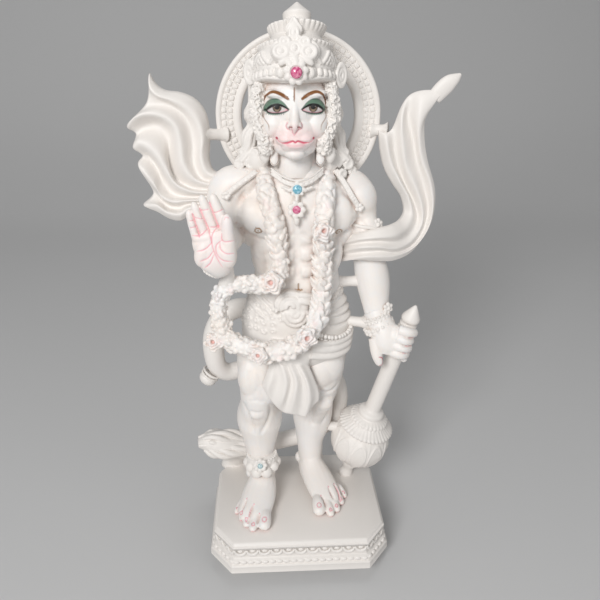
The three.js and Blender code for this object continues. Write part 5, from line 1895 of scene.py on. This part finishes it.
def make_tail():
    bm = bmesh.new()
    limb(bm, TAIL, sides=22)
    rows = fair(TUFT, 8)
    limb(bm, TUFT, sides=20, per=5)
    along, side, depth = frames_along(rows[:, :3], FRONT)
    for k in range(14):
        angle = tau * k / 14
        reach = 0.78 + 0.22 * ((k * 5) % 4) / 3
        wave = []
        for i in range(int(len(rows) * reach)):
            share = i / len(rows)
            twist = angle + 0.5 * share
            lift = 0.88 + (0.1 + 0.16 * share) * sin(9 * share + 1.6 * (k % 4))
            spot = rows[i, :3] + side[i] * cos(twist) * rows[i, 3] * lift
            spot = spot + depth[i] * sin(twist) * rows[i, 4] * lift
            wave.append((*spot, 4.8 * (1 - 0.6 * share**2)))
        wave = wave[::3]
        wave.append((*(np.array(wave[-1][:3]) + along[-1] * 3), 1.4))
        limb(bm, wave, sides=10, per=4)
    limb(bm, TUFT_REST, sides=28)
    ball(bm, (-108, 33, 153), (11, 10.5, 8.5), lean=0.6)
    ring(bm, (-105.5, 33, 157), TAIL_BAND_AXIS, 10.2, 1.5)
    ring(bm, (-103, 33.5, 160.5), TAIL_BAND_AXIS, 10.8, 1.3)
    marble_piece(new_object("tail", bm))


# Mace

MACE_FOOT = (66.6, 42, 0)
MACE_LEAN = (0.241, -0.194, 0.951)
MACE_PEG = [(0, -6), (8.5, -6), (9, 4), (7, 9), (7.4, 14), (10.5, 20), (11, 25), (9, 29), (12, 31)]

# The skirt and the neck above the ball, as (radius, height over its middle) in shares of its radius
MACE_SKIRT = [
    (0.84, 0.68), (0.9, 0.72), (0.92, 0.78), (0.86, 0.84), (0.66, 0.98), (0.62, 1.02), (0.64, 1.08),
    (0.6, 1.15), (0.46, 1.2), (0.42, 1.24), (0.45, 1.3), (0.45, 1.38), (0.4, 1.44),
]

# The knob, as (out from the handle's radius, down from the tip)
MACE_KNOB = [
    (-0.4, 35), (0.8, 33.6), (1.2, 31.6), (0.4, 30), (-2.4, 29), (-2.2, 28), (0.2, 27), (0.4, 25),
    (-1.6, 23.6), (-1.4, 22.6), (0.4, 20.4), (1, 18), (0.2, 15), (-5, 6),
]


def make_mace():
    r, top = drawn(sizes().mace_radius), drawn(sizes().mace_length)
    grip = 9.8
    middle = 28 + r
    body = list(MACE_PEG)
    for i in range(45):
        angle = -pi / 2 + 0.42 + (pi / 2 + 0.78 - 0.42) * i / 44
        body.append((r * cos(angle), middle + r * 0.98 * sin(angle)))
    body += [(r * out, middle + r * height) for out, height in MACE_SKIRT]
    body += [(grip + 2, middle + r * 1.47), (grip, middle + r * 1.52)]
    body += [(grip, z) for z in np.linspace(middle + r * 1.6, top - 38, 14)]
    body += [*((grip + out, top - down) for out, down in MACE_KNOB), (1.4, top - 0.5), (0, top)]

    def raised_at(place, middle, width):
        return np.exp(-(((place - middle) / width) ** 2))

    # Petals and arches in low relief on the ball, scallops round the skirt
    def relief(z, angle):
        height = (z - middle) / r
        on_ball = (height > -0.86) & (height < 0.68)
        around = (angle * 5 / pi + 0.25) % 1 - 0.5
        oval = np.hypot(around / 0.4, (height + 0.08) / 0.56)
        rim = raised_at(oval, 0.98, 0.09)
        core = 0.6 * raised_at(oval, 0.72, 0.08)
        seam = 0.7 * raised_at(0.5 - np.abs(around), 0, 0.035) * (0.7 + 0.3 * np.cos(height * 50))
        collar = 1.4 * raised_at(height, -0.78, 0.06) * (1 + 0.6 * np.cos(angle * 28))
        skirt = ((height > 0.68) & (height < 0.8)) * (0.4 + 1.4 * np.abs(np.cos(angle * 20)))
        pleats = ((height >= 0.8) & (height < 1)) * 0.35 * np.cos(angle * 40)
        second = ((height > 1) & (height < 1.18)) * 1.3 * np.abs(np.cos(angle * 14))
        return on_ball * (1.5 * rim + core + seam + collar) + skirt + pleats + second

    bm = bmesh.new()
    turned(bm, body, MACE_FOOT, MACE_LEAN, steps=240, relief=relief)
    marble_piece(new_object("mace", bm))


# Jewellery

def beaded(bm, line, radius, pitch, squash=1):
    """A row of beads along a line."""
    rows = fair(line, 10)
    length = run_along(rows)
    for distance in np.arange(pitch / 2, length[-1], pitch):
        i = int(np.searchsorted(length, distance))
        ball(bm, tuple(rows[i]), (radius, radius, radius * squash), detail=2)


def beads_round(bm, place, radius, count, bead, heights=(0,)):
    """Round beads in rings about a place's own upright."""
    for k in range(count):
        angle = tau * k / count
        for height in heights:
            spot = place @ Vector((radius * cos(angle), radius * sin(angle), height))
            ball(bm, spot, (bead,) * 3, detail=2)


def bangle(bm, base, axis, radius, width, count, bead):
    """A band edged with beads."""
    inner, swell = radius * 0.7, radius + 1.4
    band = [
        (inner, -width), (radius, -width), (swell, -width * 0.5), (swell, width * 0.5), (radius, width),
        (inner, width), (inner, -width),
    ]
    turned(bm, band, base, axis)
    beads_round(bm, pointing(base, axis), radius + 0.8, count, bead, (-width, width))


def leafy(height, angle):
    """Slanting leaves round a band."""
    return np.abs(np.cos(angle * 9 + height * 0.5)) * (np.abs(height) < 5)


# Where each inlaid stone sits, and the way it looks
COLLAR_SEAT = ((-0.5, -24, 398), (0, -1, 0.2))
PENDANT_SEAT = ((-1.5, -29, 378), (0, -1, 0.05))
ANKLET_SEAT = ((-46, -17, 57), (0, -1, 0.25))
FOREHEAD_SEAT = ((HEAD_X, -50, 511.5), (0, -1, 0.1))

# Each bangle is (base, axis, radius, half its width, count of beads, size of a bead).
BANGLES = [
    ((-81, -46, 335), (0.12, -1, 0.08), 13, 2.4, 18, 1.9),
    ((90, -2, 246.5), (0.42, -0.1, -0.9), 14.2, 2.4, 20, 1.9),
    ((93.5, -5, 235.5), (0.42, -0.1, -0.9), 15.2, 2, 17, 2.8),
]
CUFF = [
    (-97, -58, 328), (-94.9, -58, 323), (-89, -58, 319), (-83, -58, 317.2), (-75.5, -58, 320.6),
    (-67.9, -57, 327.7),
]
COLLAR = [(-27, -8, 417), (-14, -18, 409.5), (0, -22, 406.5), (14, -18, 409.5), (27, -8, 417)]
PENDANT_DROPS = [
    ([(-1.5, -29, 369, 3.2, 2.4), (-1.5, -28, 364, 2.4, 2.2), (-1.5, -26, 360, 0.6, 1)], 12),
    ([(-1, -25, 392, 2.2, 2), (-1.2, -27, 387, 1.8, 1.8)], 10),
]
SHOULDER_BANDS = [
    ([(-42, -4, 412), (-51, -8, 406.5), (-62, -10, 399), (-74, -11, 389.5)], 3.3),
    ([(41, 2, 412), (50, -5, 399), (58, -9, 386), (66, -7, 374)], 3.2),
]
ANKLET_BAND = [(0, -7), (15, -7), (18, -4.5), (19, 0), (18, 4.5), (15, 7), (0, 7)]


def make_jewellery():
    bm = bmesh.new()

    # Bangles, with a flower where the cloth meets the left wrist
    for row in BANGLES:
        bangle(bm, *row)
    beaded(bm, CUFF, 1.8, 3)
    petal_ring(bm, (102, -9, 259), (0.6, -1, 0.1), 4.4, 6, (2.8, 2.6), flat=0.9)
    ball(bm, (102.4, -10, 259), (2.6,) * 3, detail=2)

    # Collar of three cords with drops under them, and the flowers that hold two of the stones
    for drop, radius in ((0, 1), (2.8, 0.9), (5.6, 1.1)):
        limb(bm, [(x, y - drop * 0.25, z - drop, radius) for x, y, z in COLLAR], sides=8)
    for k in range(11):
        share = (k - 5) / 5
        ball(bm, (share * 24, -22.4 + 11 * share**2, 402.6 + 7.6 * share**2), (2.4, 1.5, 1.6), detail=2)
    for side in SIDES:
        for k in range(3):
            centre = (-0.5 + side * (8 + 3.2 * k), -23 + 0.8 * k, 397 + 1.2 * k)
            ball(bm, centre, (2.4, 1.8, 2.2 - 0.4 * k), detail=2)
    for seat, count, reach, size in ((COLLAR_SEAT, 8, 6.2, 2.1), (PENDANT_SEAT, 7, 6.6, 3.2)):
        (x, y, z), axis = seat
        petal_ring(bm, (x, y + 0.2, z), axis, reach, count, (size, size), flat=0.6)
        turned(bm, [(0, -9), (reach, -9), (reach, -1), (0, -0.5)], seat[0], axis, steps=28)
    for drop, sides in PENDANT_DROPS:
        limb(bm, drop, sides=sides)

    # Bands of fine lace over the shoulders, with a rosette at each lower end
    for edge, half in SHOULDER_BANDS:
        limb(bm, [(x, y + 1.4, z, half, 2) for x, y, z in edge], sides=12)
        for shift in (-1, 0, 1):
            row = [(x + shift * half * 0.7, y - 0.2, z + abs(shift) * 0.4) for x, y, z in edge]
            beaded(bm, row, 0.8 if shift else 1.1, 1.7 if shift else 3.4)
        x, y, z = edge[-1]
        for k in range(5):
            angle = tau * k / 5
            ball(bm, (x + 3 * cos(angle), y, z + 2.8 * sin(angle)), (2.3,) * 3, detail=2)

    # Armlet and its flower
    petal_ring(bm, (88, 4, 352), (0.6, -1, 0.2), 4.6, 7, (3, 2.8), flat=0.9)
    ball(bm, (88, 3, 352), (3,) * 3, detail=2)
    ring(bm, (76, 14, 351), (0.12, 0, 1), 16.5, 2, steps=44)

    # Anklet: a leafy band edged with beads, a flower for its stone, and bells
    turned(bm, ANKLET_BAND, (-44, 8, 53), (0, 0.1, 1), steps=90, relief=leafy)
    for height in (-6, 6):
        beads_round(bm, Matrix.Translation((-44, 8 - height * 0.1, 53 + height)), 17.6, 30, 1.6)
    petal_ring(bm, (-46, -15.5, 57), ANKLET_SEAT[1], 6.2, 8, (2.8, 2.8), flat=0.8)
    turned(bm, [(0, -8), (6.4, -8), (6.4, -0.8), (0, -0.4)], *ANKLET_SEAT, steps=24)
    for x in (-50.5, -38.5):
        ball(bm, (x, -10, 43), (7.2, 6.6, 7.6))
    for side in SIDES:
        for k in range(3):
            angle = 0.95 + 0.62 * k
            ball(bm, (-44 + 17.5 * sin(angle) * side, 8 - 17.5 * cos(angle), 46), (6.4, 6.4, 7))
    Carving(fused("jewellery", bm, 0.5, 1)).done(share=0.22)


# Struts left between thin limbs

STRUTS = [
    ((-74, 43, 444), (-98, 32, 446)), ((84, 42, 448), (100, 36, 448)), ((44, 14, 283), (76, 14, 284)),
    ((52, 8, 238), (84, -2, 238)), ((22, 37, 80), (62, 34, 76)),
]


def make_struts():
    bm = bmesh.new()
    for start, end in STRUTS:
        a, b = Vector(start), Vector(end)
        waist = [(*a.lerp(b, share), radius) for share, radius in ((0.25, 6.6), (0.5, 6), (0.75, 6.6))]
        limb(bm, [(*a, 9), *waist, (*b, 9)], facing=UP)
    limb(bm, [(-77, -52, 330, 10, 9), (-73, -46, 316, 6.4, 7), (-75, -38, 300, 10, 9)])
    marble_piece(new_object("struts", bm))


# Inlaid stones

def make_stones():
    tints = colours()
    materials = {
        "pink_glass": cut_stone("pink_glass", tints.pink_stone),
        "blue_glass": cut_stone("blue_glass", tints.blue_stone),
        "pale_glass": cut_stone("pale_glass", tints.pale_stone),
    }
    stones = [
        ("forehead_stone", FOREHEAD_SEAT, 5.4, "pink_glass"),
        ("collar_stone", COLLAR_SEAT, 4.8, "blue_glass"), ("pendant_stone", PENDANT_SEAT, 4.2, "pink_glass"),
        ("anklet_stone", ANKLET_SEAT, 3.3, "pale_glass"),
    ]
    for node, (base, axis), radius, slot in stones:
        bm = bmesh.new()
        dome = [(0, -1.9), (radius, -1.9), (radius, 0.2)]
        for i in range(1, 9):
            angle = pi / 2 * i / 8
            dome.append((radius * cos(angle), 0.2 + radius * 0.56 * sin(angle)))
        turned(bm, dome, base, axis, steps=40)
        obj = new_object(node.replace("_stone", "_inlay"), bm)
        settled(obj, materials[slot], nodes=(node,))


# Floor, light and camera

# The camera's place in metres, its angles, and its focal length in pixels of a 600 pixel picture
FOCAL_PIXELS = 655
PICTURE_PIXELS = 600
SENSOR_WIDTH = 36
CAMERA_PITCH = radians(21.9)
CAMERA_TURN = radians(-3)
CAMERA_DISTANCE = 0.6835
CAMERA_HEIGHT = 0.58
AXIS_SHIFT_PIXELS = 3

# The floor's run from front to back, with its curve up into the wall, and its width to each side
PAPER_CURVE = [(-3, 0), (1, 0), (1.5, 0.06), (1.9, 0.28), (2.1, 0.7), (2.15, 3.2)]
PAPER_HALF_WIDTH = 4

# Each lamp is (name, place, power, size). All look at the figure's middle.
LAMPS = [
    ("key", (-0.9, -2.1, 1.5), 45, 0.8), ("fill", (1.1, -0.9, 0.75), 2.2, 1),
    ("top", (0.1, 0.2, 2.4), 5, 0.8),
]
LAMP_AIM = (0, 0, 0.33)
WORLD_STRENGTH = 0.27


def placed(name, data, place, look):
    """A lamp or a camera at its place, looking along a direction."""
    obj = bpy.data.objects.new(name, data)
    obj.location = place
    obj.rotation_euler = look.to_track_quat("-Z", "Y").to_euler()
    bpy.context.scene.collection.objects.link(obj)
    return obj


def make_floor():
    bm = bmesh.new()
    rows = fair([(y, z, 0) for y, z in PAPER_CURVE], 8)
    verts = [bm.verts.new((-PAPER_HALF_WIDTH, y, z)) for y, z, _ in rows]
    edges = [bm.edges.new(pair) for pair in zip(verts[:-1], verts[1:])]
    grown = bmesh.ops.extrude_edge_only(bm, edges=edges)["geom"]
    far = [g for g in grown if isinstance(g, bmesh.types.BMVert)]
    bmesh.ops.translate(bm, verts=far, vec=(2 * PAPER_HALF_WIDTH, 0, 0))
    floor = new_object("floor", bm)
    floor.data.polygons.foreach_set("use_smooth", [True] * len(floor.data.polygons))
    tint = colours().floor
    paper, shader = speckled("studio_paper", 1.2, [c * 0.98 for c in tint], [c * 1.02 for c in tint])
    shader.inputs["Roughness"].default_value = 0.9
    floor.data.materials.append(paper)


def make_stage():
    make_floor()
    scene = bpy.context.scene
    scene.view_settings.view_transform = "Standard"
    scene.world = bpy.data.worlds.new("studio")
    scene.world.use_nodes = True
    sky = scene.world.node_tree.nodes["Background"]
    sky.inputs["Color"].default_value = (1, 1, 1, 1)
    sky.inputs["Strength"].default_value = WORLD_STRENGTH
    for name, place, power, size in LAMPS:
        lamp = bpy.data.lights.new(name, "AREA")
        lamp.energy = power
        lamp.size = size
        placed(name, lamp, place, Vector(LAMP_AIM) - Vector(place))

    camera = bpy.data.cameras.new("camera")
    camera.sensor_width = SENSOR_WIDTH
    camera.lens = SENSOR_WIDTH * FOCAL_PIXELS / PICTURE_PIXELS
    camera.clip_start = 0.01
    camera.clip_end = 20
    back = Vector((sin(CAMERA_TURN), -cos(CAMERA_TURN), 0))
    right = Vector((cos(CAMERA_TURN), sin(CAMERA_TURN), 0))
    reach = CAMERA_DISTANCE * cos(CAMERA_PITCH) + 0.28 * sin(CAMERA_PITCH)
    place = back * CAMERA_DISTANCE + Vector((0, 0, CAMERA_HEIGHT))
    place += right * (AXIS_SHIFT_PIXELS / FOCAL_PIXELS * reach)
    down = -back * cos(CAMERA_PITCH) - Vector((0, 0, sin(CAMERA_PITCH)))
    scene.camera = placed("camera", camera, place, down)


# Operators, one for each piece or group

class GUARDIAN_OT_stage(bpy.types.Operator):
    """Floor, light and camera"""

    bl_idname = "guardian.stage"
    bl_label = "Stage"

    def execute(self, context):
        make_stage()
        return {"FINISHED"}


class GUARDIAN_OT_plinth(bpy.types.Operator):
    """Moulded plinth with scallops and beads"""

    bl_idname = "guardian.plinth"
    bl_label = "Plinth"

    def execute(self, context):
        make_plinth()
        return {"FINISHED"}


class GUARDIAN_OT_body(bpy.types.Operator):
    """Legs and feet, then chest, back and arms"""

    bl_idname = "guardian.body"
    bl_label = "Body"

    def execute(self, context):
        make_legs()
        make_trunk()
        return {"FINISHED"}


class GUARDIAN_OT_hands(bpy.types.Operator):
    """Raised hand with its painted palm, and the hand closed on the mace"""

    bl_idname = "guardian.hands"
    bl_label = "Hands"

    def execute(self, context):
        make_raised_hand()
        make_lowered_hand()
        return {"FINISHED"}


class GUARDIAN_OT_head(bpy.types.Operator):
    """Painted face, curled whiskers and long locks"""

    bl_idname = "guardian.head"
    bl_label = "Head"

    def execute(self, context):
        make_head()
        make_hair()
        return {"FINISHED"}


class GUARDIAN_OT_crown(bpy.types.Operator):
    """Crown with its leaves, scrolls and tip"""

    bl_idname = "guardian.crown"
    bl_label = "Crown"

    def execute(self, context):
        make_crown()
        return {"FINISHED"}


class GUARDIAN_OT_halo(bpy.types.Operator):
    """Halo with two rows of cells"""

    bl_idname = "guardian.halo"
    bl_label = "Halo"

    def execute(self, context):
        make_halo()
        return {"FINISHED"}


class GUARDIAN_OT_cloth(bpy.types.Operator):
    """Flying scarf, and the cloth round the hips"""

    bl_idname = "guardian.cloth"
    bl_label = "Cloth"

    def execute(self, context):
        make_scarves()
        make_waist_cloth()
        return {"FINISHED"}


class GUARDIAN_OT_garland(bpy.types.Operator):
    """Rope of petals, frills, blossoms and roses"""

    bl_idname = "guardian.garland"
    bl_label = "Garland"

    def execute(self, context):
        make_garland()
        return {"FINISHED"}


class GUARDIAN_OT_tail(bpy.types.Operator):
    """Tail and its tuft"""

    bl_idname = "guardian.tail"
    bl_label = "Tail"

    def execute(self, context):
        make_tail()
        return {"FINISHED"}


class GUARDIAN_OT_mace(bpy.types.Operator):
    """Mace with its carved ball"""

    bl_idname = "guardian.mace"
    bl_label = "Mace"

    def execute(self, context):
        make_mace()
        return {"FINISHED"}


class GUARDIAN_OT_jewellery(bpy.types.Operator):
    """Collar, shoulder bands, bangles, armlet and anklet"""

    bl_idname = "guardian.jewellery"
    bl_label = "Jewellery"

    def execute(self, context):
        make_jewellery()
        return {"FINISHED"}


class GUARDIAN_OT_struts(bpy.types.Operator):
    """Bars left between thin limbs"""

    bl_idname = "guardian.struts"
    bl_label = "Struts"

    def execute(self, context):
        make_struts()
        return {"FINISHED"}


class GUARDIAN_OT_stones(bpy.types.Operator):
    """Four inlaid glass stones"""

    bl_idname = "guardian.stones"
    bl_label = "Stones"

    def execute(self, context):
        make_stones()
        return {"FINISHED"}


OPERATORS = [
    GUARDIAN_OT_stage, GUARDIAN_OT_plinth, GUARDIAN_OT_body, GUARDIAN_OT_hands, GUARDIAN_OT_head,
    GUARDIAN_OT_crown, GUARDIAN_OT_halo, GUARDIAN_OT_cloth, GUARDIAN_OT_garland, GUARDIAN_OT_tail,
    GUARDIAN_OT_mace, GUARDIAN_OT_jewellery, GUARDIAN_OT_struts, GUARDIAN_OT_stones,
]


class GUARDIAN_PT_panel(bpy.types.Panel):
    """Lists the sizes, the colours and the pieces."""

    bl_label = "Temple guardian"
    bl_idname = "GUARDIAN_PT_panel"
    bl_space_type = "VIEW_3D"
    bl_region_type = "UI"
    bl_category = "Guardian"

    def draw(self, context):
        for group in (context.scene.guardian_sizes, context.scene.guardian_colours):
            box = self.layout.box()
            for name in group.__annotations__:
                box.prop(group, name)
        for operator in OPERATORS:
            self.layout.operator(operator.bl_idname)


CLASSES = [GuardianSizes, GuardianColours, *OPERATORS, GUARDIAN_PT_panel]


def register():
    for cls in CLASSES:
        bpy.utils.register_class(cls)
    bpy.types.Scene.guardian_sizes = PointerProperty(type=GuardianSizes)
    bpy.types.Scene.guardian_colours = PointerProperty(type=GuardianColours)


def unregister():
    del bpy.types.Scene.guardian_colours
    del bpy.types.Scene.guardian_sizes
    for cls in reversed(CLASSES):
        bpy.utils.unregister_class(cls)


def main():
    register()
    bpy.ops.guardian.stage()
    bpy.ops.guardian.plinth()
    bpy.ops.guardian.body()
    bpy.ops.guardian.hands()
    bpy.ops.guardian.head()
    bpy.ops.guardian.crown()
    bpy.ops.guardian.halo()
    bpy.ops.guardian.cloth()
    bpy.ops.guardian.garland()
    bpy.ops.guardian.tail()
    bpy.ops.guardian.mace()
    bpy.ops.guardian.jewellery()
    bpy.ops.guardian.struts()
    bpy.ops.guardian.stones()


if __name__ == "__main__":
    main()
